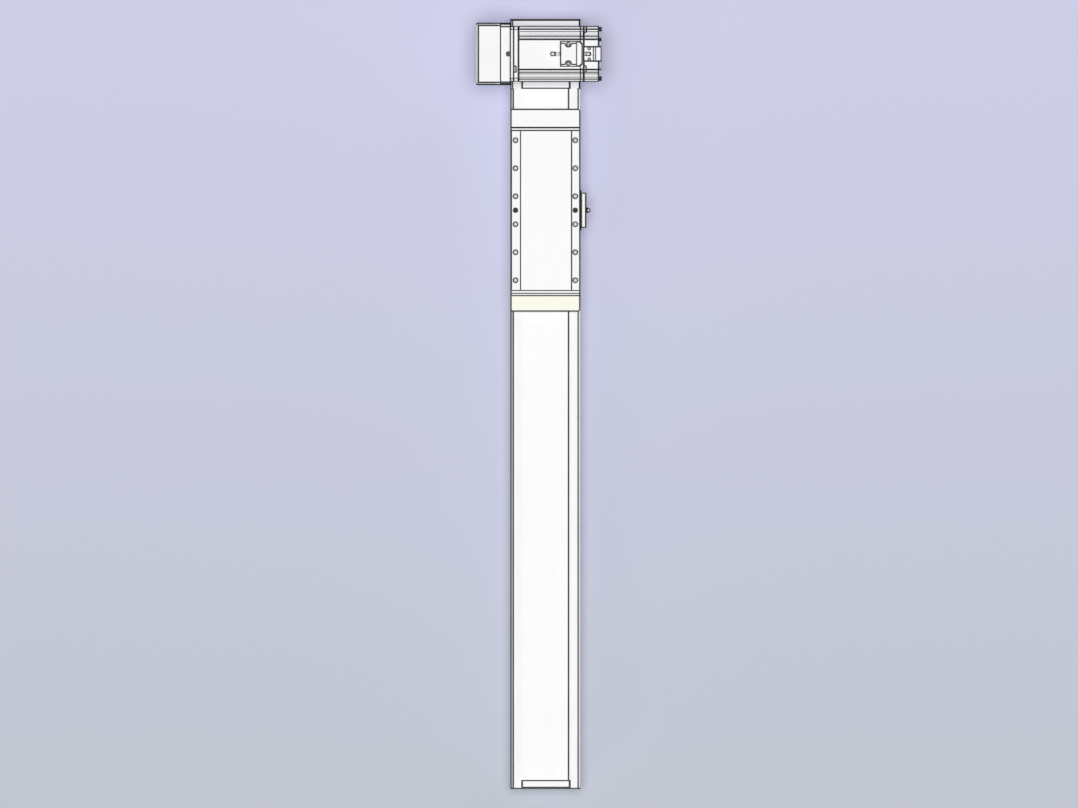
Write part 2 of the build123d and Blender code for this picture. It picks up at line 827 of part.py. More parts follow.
with BuildPart() as idler_bracket:
    with BuildSketch(across(bracket_front)):
        with BuildLine():
            Polyline(*cavity_outline(bracket_side_gap), close=True)
        make_face()
        with Locations((0, rail_seat)):
            Rectangle(
                2 * pocket_half,
                cavity_top - bracket_side_gap - bracket_bridge - rail_seat,
                align=(Align.CENTER, Align.MIN),
                mode=Mode.SUBTRACT,
            )
    extrude(amount=bracket_length)
    with BuildSketch(beside(0, idler_y, spindle_height)):
        Circle(idler_axle_diameter / 2)
    extrude(amount=cavity_half, both=True, mode=Mode.SUBTRACT)
    with BuildSketch(across(bracket_back)):
        with Locations(*tension_spots):
            Circle(tension_screw / 2)
    extrude(amount=-tension_grip, mode=Mode.SUBTRACT)
idler_bracket.part.label = "idler_bracket"
export_step(idler_bracket.part, "parts/idler_bracket.step")

with BuildPart() as idler_axle:
    with BuildSketch(beside(0, idler_y, spindle_height)):
        Circle(idler_axle_diameter / 2 - seat_gap)
    extrude(amount=cavity_half - bracket_side_gap, both=True)
    chamfer(edges().filter_by(GeomType.CIRCLE), shaft_chamfer)
idler_axle.part.label = "idler_axle"
export_step(idler_axle.part, "parts/idler_axle.step")

# Tail end plate, let into the end of the extrusion
with BuildPart() as tail_end_plate:
    with BuildSketch(across(tail_face + tail_plate_thickness)):
        with BuildLine():
            Polyline(*cavity_outline(bracket_low_gap), close=True)
        make_face()
        with Locations((0, floor_thickness + bracket_low_gap)):
            Rectangle(
                2 * (flange_radius - bracket_low_gap),
                rail_seat - floor_thickness + bracket_low_gap,
                align=(Align.CENTER, Align.MIN),
            )
    extrude(amount=tail_plate_thickness)
    with Locations(across(tail_face)):
        with Locations(*[(x, z, 0) for x, z in tension_spots]):
            CounterSinkHole(
                tension_screw / 2, flat_head * tension_screw, tail_plate_thickness, flat_head_angle
            )
    for z in (tail_screw_low, tail_screw_high):
        with BuildSketch(beside(0, tail_plate_y, z)):
            Circle(tail_screw / 2)
        extrude(amount=cavity_half, both=True, mode=Mode.SUBTRACT)
tail_end_plate.part.label = "tail_end_plate"
export_step(tail_end_plate.part, "parts/tail_end_plate.step")

# Small countersunk screws of the bearing cap and of the tail end plate
with BuildPart() as countersunk_screws:
    cap_face = beside(half_body, spindle_y, spindle_height)
    add(flat_screws(cap_face, cap_screw_spots, end_screw, cap_thickness + cap_screw_grip).part)
    for side in (-1, 1):
        heights = [(0, tail_screw_low), (0, tail_screw_high)]
        add(flat_screws(side_seat(side), heights, tail_screw, tail_screw_length).part)
countersunk_screws.part.label = "countersunk_screws"
export_step(countersunk_screws.part, "parts/countersunk_screws.step")

tension_screws = flat_screws(
    across(tail_face), tension_spots, tension_screw, bracket_back - tail_face + tension_grip - tip_gap
)
tension_screws.part.label = "tension_screws"
export_step(tension_screws.part, "parts/tension_screws.step")

# Bumpers: rubber pads at both ends, on posts where the carriage stops short of the housing.
# The carriage's neck stops half a millimetre short of each, 15 towards the drive and 480 back.
bumper_x = pocket_half + bumper_side_gap + bumper_diameter / 2
bumper_spots = [(side * bumper_x, cavity_top - bumper_drop) for side in (-1, 1)]

with BuildPart() as bumpers:
    with BuildSketch(across(bracket_front)):
        with Locations(*bumper_spots):
            Circle(bumper_diameter / 2)
    extrude(amount=-bumper_length)
    with BuildSketch(across(drive_face - bumper_post_length)):
        with Locations(*bumper_spots):
            Circle(bumper_diameter / 2)
    extrude(amount=bumper_length)
    with BuildSketch(across(drive_face)):
        with Locations(*bumper_spots):
            RegularPolygon(bumper_diameter / 2, 6)
    extrude(amount=bumper_post_length)
bumpers.part.label = "bumpers"
export_step(bumpers.part, "parts/bumpers.step")

# Drive belt, its two ends meeting in the carriage's clamp
with BuildPart() as drive_belt:
    add(toothed_belt(beside(0, spindle_y, spindle_height), pulley_distance, drive_belt_width).part)
    with BuildSketch(across(carriage_place + belt_end_gap / 2)):
        with Locations((0, spindle_height)):
            Rectangle(drive_belt_width, 2 * back_radius, align=(Align.CENTER, Align.MIN))
    extrude(amount=belt_end_gap, mode=Mode.SUBTRACT)
drive_belt.part.label = "drive_belt"
export_step(drive_belt.part, "parts/drive_belt.step")

# Drive spindle: shaft, keys and drive pulley
shaft_right_end = bearing_inset + bearing_width + shaft_end_reach
transfer_x = -(half_body + base_plate_thickness + transfer_pulley_gap + flange_thickness)
transfer_half = transfer_belt_width / 2 + pass_gap
transfer_middle = transfer_x - transfer_half
shaft_left_end = transfer_middle - transfer_half

with BuildPart() as drive_shaft:
    with BuildSketch(beside(shaft_left_end, spindle_y, spindle_height)):
        Circle(shaft_diameter / 2)
    extrude(amount=shaft_right_end - shaft_left_end)
    chamfer(edges().filter_by(GeomType.CIRCLE), shaft_chamfer)
    for x in (0, transfer_middle):
        with BuildSketch(beside(x, spindle_y, spindle_height)):
            with Locations((0, shaft_diameter / 2 - key_seat)):
                Rectangle(key_size, key_size, align=(Align.CENTER, Align.MIN))
        extrude(amount=key_length / 2, both=True, mode=Mode.SUBTRACT)
drive_shaft.part.label = "drive_shaft"
export_step(drive_shaft.part, "parts/drive_shaft.step")

with BuildPart() as spindle_keys:
    for x in (0, transfer_middle):
        with BuildSketch(beside(x, spindle_y, spindle_height)):
            with Locations((0, shaft_diameter / 2 - key_seat)):
                Rectangle(key_size, key_size, align=(Align.CENTER, Align.MIN))
        extrude(amount=key_length / 2, both=True)
spindle_keys.part.label = "spindle_keys"
export_step(spindle_keys.part, "parts/spindle_keys.step")

drive_pulley = toothed_pulley(
    beside(0, spindle_y, spindle_height),
    pulley_face,
    shaft_diameter + 2 * seat_gap,
    bearing_inset - slide_gap,
    1,
)
drive_pulley.part.label = "drive_pulley"
export_step(drive_pulley.part, "parts/drive_pulley.step")

driven_pulley = toothed_pulley(
    beside(transfer_middle, spindle_y, spindle_height),
    transfer_half,
    shaft_diameter + 2 * seat_gap,
    transfer_half + flange_thickness,
    1,
)
driven_pulley.part.label = "driven_transfer_pulley"
export_step(driven_pulley.part, "parts/driven_transfer_pulley.step")

# Idler pulley on its two bearings

idler_pulley = toothed_pulley(
    beside(0, idler_y, spindle_height), pulley_face, idler_bearing_diameter, pulley_half, 0
)
idler_pulley.part.label = "idler_pulley"
export_step(idler_pulley.part, "parts/idler_pulley.step")

with BuildPart() as idler_bearings:
    for x in (idler_bearing_inset, -idler_bearing_inset - idler_bearing_width):
        add(
            ball_bearing(
                beside(x, idler_y, spindle_height),
                idler_bearing_diameter - 2 * seat_gap,
                idler_axle_diameter + 2 * turn_gap,
                idler_bearing_width,
            ).part
        )
idler_bearings.part.label = "idler_bearings"
export_step(idler_bearings.part, "parts/idler_bearings.step")

# Transfer base plate, which carries the box and the motor on the housing's left side
box_high = motor_z + box_margin
box_height = box_high - box_low
box_middle = (box_low + box_high) / 2
plate_outer = -half_body - base_plate_thickness
cover_outer = -half_body - box_depth
motor_bolt_reach = motor_bolt_square / 2
motor_bolt_spots = [(a * motor_bolt_reach, b * motor_bolt_reach) for a in (-1, 1) for b in (-1, 1)]
cover_spots = [(side * cover_post_spread / 2, z) for side in (-1, 1) for z in (0, shaft_distance)]
jack_spot = (-half_body - jack_inset, spindle_y)

with BuildPart() as transfer_base_plate:
    with BuildSketch(beside(plate_outer, spindle_y, box_middle)):
        Rectangle(box_length, box_height)
        fillet(vertices(), box_corner)
    extrude(amount=base_plate_thickness)
    with BuildSketch(beside(-half_body, spindle_y, spindle_height)):
        Circle(bearing_diameter / 2 - seat_gap)
    extrude(amount=half_body - bearing_inset - bearing_width)
    with BuildSketch(beside(plate_outer, spindle_y, spindle_height)):
        Circle(hub_diameter / 2)
    extrude(amount=half_body, mode=Mode.SUBTRACT)
    with BuildSketch(beside(plate_outer, spindle_y, motor_z)):
        Circle(motor_shaft_hole / 2)
        with Locations(*motor_bolt_spots):
            Circle((motor_bolt + pass_gap) / 2)
    extrude(amount=base_plate_thickness, mode=Mode.SUBTRACT)
    with BuildSketch(beside(-half_body, spindle_y, motor_z)):
        Circle(motor_pilot / 2)
    extrude(amount=-motor_pilot_depth, mode=Mode.SUBTRACT)
    with BuildSketch(beside(plate_outer, spindle_y, spindle_height)):
        with Locations(*plate_screw_spots):
            Circle((plate_screw + pass_gap) / 2)
    extrude(amount=base_plate_thickness, mode=Mode.SUBTRACT)
    for height, spots in ((spindle_height, plate_screw_spots), (motor_z, motor_bolt_spots)):
        with BuildSketch(beside(plate_outer, spindle_y, height)):
            with Locations(*spots):
                Circle(head_pocket * plate_screw)
        extrude(amount=plate_counterbore, mode=Mode.SUBTRACT)
    with BuildSketch(beside(plate_outer, spindle_y, spindle_height)):
        with Locations(*cover_spots):
            Circle(cover_screw / 2)
    extrude(amount=cover_screw_grip, mode=Mode.SUBTRACT)
    with BuildSketch(level(box_high)):
        with Locations(jack_spot):
            Circle(jack_thread / 2)
    extrude(amount=-jack_depth, mode=Mode.SUBTRACT)
transfer_base_plate.part.label = "transfer_base_plate"
export_step(transfer_base_plate.part, "parts/transfer_base_plate.step")

# Screws of the base plate: into the housing, and into the motor's flange
screw_seat = plate_outer + plate_counterbore
with BuildPart() as transfer_plate_screws:
    for height, spots, length in (
        (spindle_height, plate_screw_spots, housing_plate_screw_length),
        (motor_z, motor_bolt_spots, motor_bolt_length),
    ):
        seat = Plane(origin=(screw_seat, spindle_y, height), x_dir=(0, -1, 0), z_dir=(-1, 0, 0))
        add(socket_screws(seat, spots, plate_screw, length).part)
transfer_plate_screws.part.label = "transfer_plate_screws"
export_step(transfer_plate_screws.part, "parts/transfer_plate_screws.step")

with BuildPart() as jack_screw:
    with BuildSketch(level(box_high)):
        with Locations(jack_spot):
            RegularPolygon(jack_diameter / 2, 6)
    extrude(amount=jack_head)
    with BuildSketch(level(box_high)):
        with Locations(jack_spot):
            Circle(jack_thread / 2 - seat_gap)
    extrude(amount=-jack_depth + tip_gap)
jack_screw.part.label = "transfer_tension_screw"
export_step(jack_screw.part, "parts/transfer_tension_screw.step")

# Transfer cover, a moulded shell with a post for each screw
cover_depth = box_depth - base_plate_thickness
cover_head_depth = cover_screw + cover_head_sink
with BuildPart() as transfer_cover:
    with BuildSketch(beside(cover_outer, spindle_y, box_middle)):
        Rectangle(box_length, box_height)
        fillet(vertices(), box_corner)
    extrude(amount=cover_depth)
    fillet(faces().sort_by(Axis.X)[0].edges(), box_fillet)
    with BuildSketch(beside(cover_outer + box_wall, spindle_y, box_middle)):
        Rectangle(box_length - 2 * box_wall, box_height - 2 * box_wall)
    extrude(amount=cover_depth - box_wall, mode=Mode.SUBTRACT)
    with BuildSketch(beside(cover_outer + box_wall, spindle_y, spindle_height)):
        with Locations(*cover_spots):
            Circle(cover_post / 2)
    extrude(amount=cover_depth - box_wall)
    with BuildSketch(beside(cover_outer, spindle_y, spindle_height)):
        with Locations(*cover_spots):
            Circle((cover_screw + pass_gap) / 2)
    extrude(amount=cover_depth, mode=Mode.SUBTRACT)
    with BuildSketch(beside(cover_outer, spindle_y, spindle_height)):
        with Locations(*cover_spots):
            Circle(head_pocket * cover_screw)
    extrude(amount=cover_head_depth, mode=Mode.SUBTRACT)
transfer_cover.part.label = "transfer_cover"
export_step(transfer_cover.part, "parts/transfer_cover.step")

cover_seat = Plane(
    origin=(cover_outer + cover_head_depth, spindle_y, spindle_height), x_dir=(0, -1, 0), z_dir=(-1, 0, 0)
)
cover_screws = socket_screws(
    cover_seat, cover_spots, cover_screw, cover_depth - cover_head_depth + cover_screw_grip - tip_gap
)
cover_screws.part.label = "transfer_cover_screws"
export_step(cover_screws.part, "parts/transfer_cover_screws.step")

# Transfer belt between the motor's pulley and the drive spindle
transfer_plane = Plane(origin=(transfer_middle, spindle_y, motor_z), x_dir=(0, 0, 1), z_dir=(1, 0, 0))
transfer_belt = toothed_belt(transfer_plane, shaft_distance, transfer_belt_width)
transfer_belt.part.label = "transfer_belt"
export_step(transfer_belt.part, "parts/transfer_belt.step")

motor_pulley = toothed_pulley(
    beside(transfer_middle, spindle_y, motor_z),
    transfer_half,
    motor_shaft_diameter + 2 * seat_gap,
    transfer_half + flange_thickness,
    1,
)
motor_pulley.part.label = "motor_pulley"
export_step(motor_pulley.part, "parts/motor_pulley.step")

# Motor: places along its axis
flange_back = -half_body + motor_flange_thickness
motor_body_end = flange_back + motor_body_length
motor_bracket_end = motor_body_end + motor_bracket_length
encoder_end = motor_bracket_end + encoder_length
scallop_centre = motor_shelf + motor_scallop
front_bearing_face = flange_back - motor_bearing_width
rear_bearing_face = motor_bracket_end - rear_bearing_width
motor_top = motor_z + motor_frame / 2


def motor_section(plane):
    """Section of the motor's body about its axis: a square with a scalloped notch at each corner."""
    half = motor_frame / 2
    notch = [
        (motor_side_flat, half),
        (motor_shelf, motor_corner),
        (motor_shelf, scallop_centre),
        (scallop_centre, scallop_centre),
        (scallop_centre, motor_shelf),
        (motor_corner, motor_shelf),
        (half, motor_side_flat),
        (half, half),
    ]
    with BuildSketch(plane) as section:
        Rectangle(motor_frame, motor_frame)
        for a in (-1, 1):
            for b in (-1, 1):
                with BuildLine():
                    Polyline(*[(a * x, b * y) for x, y in notch], close=True)
                make_face(mode=Mode.SUBTRACT)
                with Locations((a * scallop_centre, b * scallop_centre)):
                    Circle(motor_scallop, mode=Mode.SUBTRACT)
    return section.sketch


# Motor flange, with the pilot that centres it in the base plate
flange_notch_x = -half_body + motor_flange_step + flange_notch_from_step
motor_bolt_grip = motor_bolt_length - base_plate_thickness + plate_counterbore

with BuildPart() as motor_flange:
    with BuildSketch(beside(-half_body, spindle_y, motor_z)):
        Rectangle(motor_frame, motor_frame)
        chamfer(vertices(), motor_flange_cut)
    extrude(amount=motor_flange_step)
    with BuildSketch(beside(-half_body, spindle_y, motor_z)):
        Rectangle(motor_frame - flange_inset, motor_frame - flange_inset)
        chamfer(vertices(), motor_flange_cut)
    extrude(amount=motor_flange_thickness)
    with BuildSketch(beside(-half_body, spindle_y, motor_z)):
        Circle(motor_pilot / 2 - seat_gap)
    extrude(amount=-motor_pilot_depth + seat_gap)
    with BuildSketch(beside(flange_back, spindle_y, motor_z)):
        Circle(motor_bearing_diameter / 2)
    extrude(amount=-motor_bearing_width, mode=Mode.SUBTRACT)
    with BuildSketch(beside(-half_body, spindle_y, motor_z)):
        Circle(motor_shaft_diameter / 2 + pass_gap)
    extrude(amount=motor_pilot_depth, both=True, mode=Mode.SUBTRACT)
    with BuildSketch(beside(-half_body, spindle_y, motor_z)):
        with Locations(*motor_bolt_spots):
            Circle(motor_bolt / 2)
    extrude(amount=motor_bolt_grip + tip_gap, mode=Mode.SUBTRACT)
    with BuildSketch(level(motor_top)):
        with Locations((flange_notch_x, spindle_y - motor_side_flat)):
            Rectangle(flange_notch_width, flange_notch_length)
    extrude(amount=-flange_notch_depth, mode=Mode.SUBTRACT)
motor_flange.part.label = "motor_flange"
export_step(motor_flange.part, "parts/motor_flange.step")

with BuildPart() as motor_housing:
    extrude(motor_section(beside(flange_back, spindle_y, motor_z)), amount=motor_body_length)
    with BuildSketch(beside(flange_back, spindle_y, motor_z)):
        Circle(stator_diameter / 2)
    extrude(amount=motor_body_length, mode=Mode.SUBTRACT)
motor_housing.part.label = "motor_housing"
export_step(motor_housing.part, "parts/motor_housing.step")

with BuildPart() as motor_stator:
    with BuildSketch(beside(flange_back + stator_end_gap, spindle_y, motor_z)):
        Circle(stator_diameter / 2 - seat_gap)
        Circle(stator_bore / 2, mode=Mode.SUBTRACT)
    extrude(amount=motor_body_length - 2 * stator_end_gap)
motor_stator.part.label = "motor_stator"
export_step(motor_stator.part, "parts/motor_stator.step")

with BuildPart() as motor_rear_bracket:
    extrude(motor_section(beside(motor_body_end, spindle_y, motor_z)), amount=motor_bracket_length)
    with BuildSketch(beside(motor_body_end, spindle_y, motor_z)):
        Circle(rotor_diameter / 2)
    extrude(amount=-stator_end_gap)
    with BuildSketch(beside(motor_bracket_end, spindle_y, motor_z)):
        Circle(rear_bearing_diameter / 2)
    extrude(amount=-motor_bracket_length - stator_end_gap, mode=Mode.SUBTRACT)
motor_rear_bracket.part.label = "motor_rear_bracket"
export_step(motor_rear_bracket.part, "parts/motor_rear_bracket.step")

with BuildPart() as motor_bearings:
    add(
        ball_bearing(
            beside(front_bearing_face, spindle_y, motor_z),
            motor_bearing_diameter - 2 * seat_gap,
            motor_shaft_diameter + 2 * turn_gap,
            motor_bearing_width,
        ).part
    )
    add(
        ball_bearing(
            beside(rear_bearing_face, spindle_y, motor_z),
            rear_bearing_diameter - 2 * seat_gap,
            rear_journal + 2 * turn_gap,
            rear_bearing_width,
        ).part
    )
motor_bearings.part.label = "motor_bearings"
export_step(motor_bearings.part, "parts/motor_bearings.step")

# Rotor: stepped shaft with its key, and the magnet core pressed on it
rotor_start = flange_back + stator_end_gap + rotor_clearance
rotor_end = motor_body_end - stator_end_gap - rotor_clearance

with BuildPart() as motor_shaft:
    with BuildSketch(beside(shaft_left_end, spindle_y, motor_z)):
        Circle(motor_shaft_diameter / 2)
    extrude(amount=rotor_end - shaft_left_end)
    with BuildSketch(beside(rotor_end, spindle_y, motor_z)):
        Circle(rear_journal / 2)
    extrude(amount=motor_bracket_end + rotor_clearance - rotor_end)
    with BuildSketch(beside(transfer_middle, spindle_y, motor_z)):
        with Locations((0, motor_shaft_diameter / 2 - key_seat)):
            Rectangle(key_size, key_size, align=(Align.CENTER, Align.MIN))
    extrude(amount=key_length / 2, both=True)
motor_shaft.part.label = "motor_shaft"
export_step(motor_shaft.part, "parts/motor_shaft.step")

with BuildPart() as rotor_core:
    with BuildSketch(beside(rotor_start, spindle_y, motor_z)):
        Circle(rotor_diameter / 2)
        Circle(motor_shaft_diameter / 2 + seat_gap, mode=Mode.SUBTRACT)
    extrude(amount=rotor_end - rotor_start)
rotor_core.part.label = "rotor_core"
export_step(rotor_core.part, "parts/rotor_core.step")

# Encoder cap, its two lugs and its corner screws
encoder_screw_reach = motor_frame / 2 - encoder_screw_from_edge
encoder_screw_spots = [(a * encoder_screw_reach, b * encoder_screw_rise) for a in (-1, 1) for b in (-1, 1)]
lug_low = motor_frame / 2 - top_lug_half_height
lug_high = motor_frame / 2 + top_lug_half_height
# Middle, width, low edge and high edge of each lug, about the motor's axis
side_lug = (encoder_screw_reach, side_lug_width, side_lug_low, side_lug_high)
top_lug = (-top_lug_side, top_lug_width, lug_low, lug_high)

with BuildPart() as encoder_cap:
    extrude(motor_section(beside(motor_bracket_end, spindle_y, motor_z)), amount=encoder_length)
    with BuildSketch(beside(encoder_end, spindle_y, motor_z)):
        Rectangle(encoder_pad_width, encoder_pad_width)
        fillet(vertices(), 2 * box_corner)
    extrude(amount=encoder_pad)
    with BuildSketch(beside(motor_bracket_end, spindle_y, motor_z)):
        for place, width, low, high in (side_lug, top_lug):
            with Locations((place, low)):
                Rectangle(width, high - low, align=(Align.CENTER, Align.MIN))
    extrude(amount=lug_length)
    with BuildSketch(beside(motor_bracket_end, spindle_y, motor_z)):
        Circle(encoder_bore / 2)
    extrude(amount=encoder_length - encoder_wall, mode=Mode.SUBTRACT)
    with BuildSketch(beside(encoder_end, spindle_y, motor_z)):
        with Locations(*encoder_screw_spots):
            Circle(encoder_screw / 2)
    extrude(amount=-encoder_screw_depth, mode=Mode.SUBTRACT)
encoder_cap.part.label = "encoder_cap"
export_step(encoder_cap.part, "parts/encoder_cap.step")

encoder_cap_screws = socket_screws(
    beside(encoder_end, spindle_y, motor_z),
    encoder_screw_spots,
    encoder_screw,
    encoder_screw_depth - tip_gap,
)
encoder_cap_screws.part.label = "encoder_cap_screws"
export_step(encoder_cap_screws.part, "parts/encoder_cap_screws.step")

# Connectors on the motor's top face, with the jack screws that lock their plugs

power_right = motor_body_end + power_overhang
power_back = power_right - power_lip
power_step = power_right - power_foot
power_left = power_right - power_length
power_spots = [(power_left + power_screw_place, spindle_y + side * power_screw_side) for side in (-1, 1)]
encoder_left = motor_bracket_end + encoder_plug_gap
encoder_step = encoder_left + encoder_step_place
encoder_ridge = encoder_left + encoder_ridge_place
encoder_right = encoder_left + encoder_plug_length
encoder_plug_screw_x = encoder_left + encoder_plug_screw_place
encoder_plug_spots = [
    (encoder_plug_screw_x, spindle_y + side * encoder_plug_screw_side) for side in (-1, 1)
]
power_face = motor_top + power_base_height
encoder_face = motor_top + encoder_base_height


def top_block(left, right, half, height, corner=0.0):
    """Block on the motor's top, from one x to another, with its right corners cut when asked."""
    with BuildPart() as block:
        with BuildSketch(level(motor_top)):
            with Locations(((left + right) / 2, spindle_y)):
                Rectangle(right - left, 2 * half)
            if corner:
                chamfer(vertices().group_by(Axis.X)[-1], corner)
        extrude(amount=height)
    return block.part


with BuildPart() as power_connector:
    add(top_block(power_left, power_right, power_half, power_base_height, power_corner))
    add(top_block(power_step, power_back, power_back_half, power_back_height, power_corner))
    add(top_block(power_left, power_step, power_body_half, power_body_height))
    with BuildSketch(level(power_face)):
        with Locations(*power_spots):
            Circle(screw_pocket)
    extrude(amount=power_body_height, mode=Mode.SUBTRACT)
    with BuildSketch(level(power_face)):
        with Locations(*power_spots):
            Circle(encoder_screw / 2)
    extrude(amount=-power_base_height, mode=Mode.SUBTRACT)
power_connector.part.label = "power_connector"
export_step(power_connector.part, "parts/power_connector.step")

with BuildPart() as encoder_connector:
    for left, height in (
        (encoder_left, encoder_base_height),
        (encoder_step, encoder_step_height),
        (encoder_ridge, encoder_block_height),
    ):
        add(top_block(left, encoder_right, encoder_half, height))
    with BuildSketch(level(encoder_face)):
        with Locations(*encoder_plug_spots):
            Circle(encoder_plug_screw / 2)
    extrude(amount=-encoder_base_height, mode=Mode.SUBTRACT)
encoder_connector.part.label = "encoder_connector"
export_step(encoder_connector.part, "parts/encoder_connector.step")

with BuildPart() as connector_screws:
    for face, spots, size, depth in (
        (power_face, power_spots, encoder_screw, power_base_height),
        (encoder_face, encoder_plug_spots, encoder_plug_screw, encoder_base_height),
    ):
        add(socket_screws(level(face), spots, size, depth - tip_gap).part)
    for foot, reach, face in (
        (power_left, -power_jack_reach, power_face),
        (encoder_left, encoder_jack_reach, encoder_face),
    ):
        way = 1 if reach > 0 else -1
        neck = foot + reach
        tip = neck + way * jack_length
        height = face + jack_head_radius + jack_lift
        with BuildSketch(Plane(origin=(0, spindle_y, height), x_dir=(1, 0, 0), z_dir=(0, -1, 0))):
            with BuildLine():
                Polyline(
                    (tip, 0),
                    (tip - way * jack_point, jack_head_radius),
                    (neck, jack_head_radius),
                    (neck, jack_shank_radius),
                    (foot, jack_shank_radius),
                    (foot, 0),
                    close=True,
                )
            make_face()
        revolve(axis=Axis((0, spindle_y, height), (1, 0, 0)))
connector_screws.part.label = "connector_screws"
export_step(connector_screws.part, "parts/connector_screws.step")

# Carriage table: floor, lands and neck in one piece, with the strip's tunnel and the belt's channel
ledge_z = table_height - plate_drop - plate_thickness
land_inside = half_body - land_width
load_x = half_body - load_from_edge
load_spots = [
    (side * load_x, carriage_place + (row - (load_rows - 1) / 2) * load_pitch)
    for side in (-1, 1)
    for row in range(load_rows)
]
dowel_spots = [(side * load_x, carriage_place) for side in (-1, 1)]
block_middles = [carriage_place + side * block_spacing / 2 for side in (-1, 1)]
block_screw_spots = [
    (a * block_screw_pitch / 2, middle + b * block_screw_pitch / 2)
    for middle in block_middles
    for a in (-1, 1)
    for b in (-1, 1)
]
block_screw_seat = tunnel_floor - block_screw - slide_gap
clamp_middles = [
    carriage_place + side * (belt_clamp_middle_gap + belt_clamp_length) / 2 for side in (-1, 1)
]
belt_clamp_spots = [
    (a * belt_clamp_spread / 2, middle - carriage_place + b * belt_clamp_pitch / 2)
    for middle in clamp_middles
    for a in (-1, 1)
    for b in (-1, 1)
]
end_screw_x = half_body - end_screw_from_edge
end_screw_spots = [(side * end_screw_x, body_height + end_screw_rise) for side in (-1, 1)]
port_screw_spots = [(side * port_screw_spread / 2, 0) for side in (-1, 1)]
port_face = half_body + gasket_thickness + port_thickness
port_centre_height = body_height + port_rise

with BuildPart() as carriage_table:
    with BuildSketch(across(carriage_place + table_end)):
        with Locations((0, table_low)):
            Rectangle(body_width, table_height - table_low, align=(Align.CENTER, Align.MIN))
        chamfer(vertices().group_by(Axis.Y)[-1], table_chamfer)
        with Locations((0, block_top)):
            Rectangle(2 * neck_half, table_low - block_top, align=(Align.CENTER, Align.MIN))
            Rectangle(
                2 * (drive_belt_width / 2 + pass_gap),
                saddle_z - block_top,
                align=(Align.CENTER, Align.MIN),
                mode=Mode.SUBTRACT,
            )
        with Locations((0, tunnel_floor)):
            Rectangle(
                2 * tunnel_half,
                table_height - tunnel_floor,
                align=(Align.CENTER, Align.MIN),
                mode=Mode.SUBTRACT,
            )
        with Locations((0, ledge_z)):
            Rectangle(
                2 * land_inside, table_height - ledge_z, align=(Align.CENTER, Align.MIN), mode=Mode.SUBTRACT
            )
            Rectangle(
                2 * (land_inside + tongue_width),
                tongue_thickness,
                align=(Align.CENTER, Align.MIN),
                mode=Mode.SUBTRACT,
            )
    extrude(amount=table_length)
    for side in (-1, 1):
        end = carriage_place + side * table_end
        with BuildSketch(beside(0)):
            with BuildLine():
                Polyline(
                    (end, tunnel_floor),
                    (end - side * ramp_length, tunnel_floor),
                    (end, tunnel_floor - ramp_drop),
                    close=True,
                )
            make_face()
        extrude(amount=tunnel_half, both=True, mode=Mode.SUBTRACT)
        with BuildSketch(across(end)):
            with Locations(*end_screw_spots):
                Circle(end_screw / 2)
        extrude(amount=side * end_screw_grip, mode=Mode.SUBTRACT)
    with BuildSketch(level(table_height)):
        with Locations(*load_spots):
            Circle(load_thread / 2)
    extrude(amount=-load_depth, mode=Mode.SUBTRACT)
    with BuildSketch(level(table_height)):
        with Locations(*dowel_spots):
            Circle(dowel_diameter / 2)
    extrude(amount=-dowel_depth, mode=Mode.SUBTRACT)
    with BuildSketch(level(tunnel_floor)):
        with Locations(*block_screw_spots):
            Circle(head_pocket * block_screw)
    extrude(amount=block_screw_seat - tunnel_floor, mode=Mode.SUBTRACT)
    with BuildSketch(level(block_screw_seat)):
        with Locations(*block_screw_spots):
            Circle(block_screw / 2 + turn_gap)
    extrude(amount=block_top - block_screw_seat, mode=Mode.SUBTRACT)
    with BuildSketch(level(block_top)):
        with Locations((0, carriage_place)):
            with Locations(*belt_clamp_spots):
                Circle(belt_clamp_screw / 2)
    extrude(amount=belt_clamp_grip, mode=Mode.SUBTRACT)
    with BuildSketch(beside(half_body, carriage_place, port_centre_height)):
        with Locations(*port_screw_spots):
            Circle(end_screw / 2)
    extrude(amount=port_face - half_body - port_screw_length, mode=Mode.SUBTRACT)
carriage_table.part.label = "carriage_table"
export_step(carriage_table.part, "parts/carriage_table.step")

# Cover plate, held by a tongue along each side
with BuildPart() as carriage_cover_plate:
    with BuildSketch(across(carriage_place + table_end)):
        with Locations((0, ledge_z)):
            Rectangle(2 * (land_inside - turn_gap), plate_thickness, align=(Align.CENTER, Align.MIN))
            Rectangle(
                2 * (land_inside + tongue_width - turn_gap),
                tongue_thickness - turn_gap,
                align=(Align.CENTER, Align.MIN),
            )
    extrude(amount=table_length)
carriage_cover_plate.part.label = "carriage_cover_plate"
export_step(carriage_cover_plate.part, "parts/carriage_cover_plate.step")

# Guide blocks, their end caps and their screws
block_low = rail_seat + block_rise

with BuildPart() as guide_blocks:
    for middle in block_middles:
        with BuildSketch(across(middle + block_length / 2)):
            with Locations((0, block_low)):
                Rectangle(block_width, block_top - block_low, align=(Align.CENTER, Align.MIN))
            chamfer(vertices(), block_edge)
            with BuildLine():
                Polyline(*rail_outline(slide_gap), close=True)
            make_face(mode=Mode.SUBTRACT)
        extrude(amount=block_length)
    with BuildSketch(level(block_top)):
        with Locations(*block_screw_spots):
            Circle(block_screw / 2)
    extrude(amount=-block_screw_grip, mode=Mode.SUBTRACT)
guide_blocks.part.label = "guide_blocks"
export_step(guide_blocks.part, "parts/guide_blocks.step")

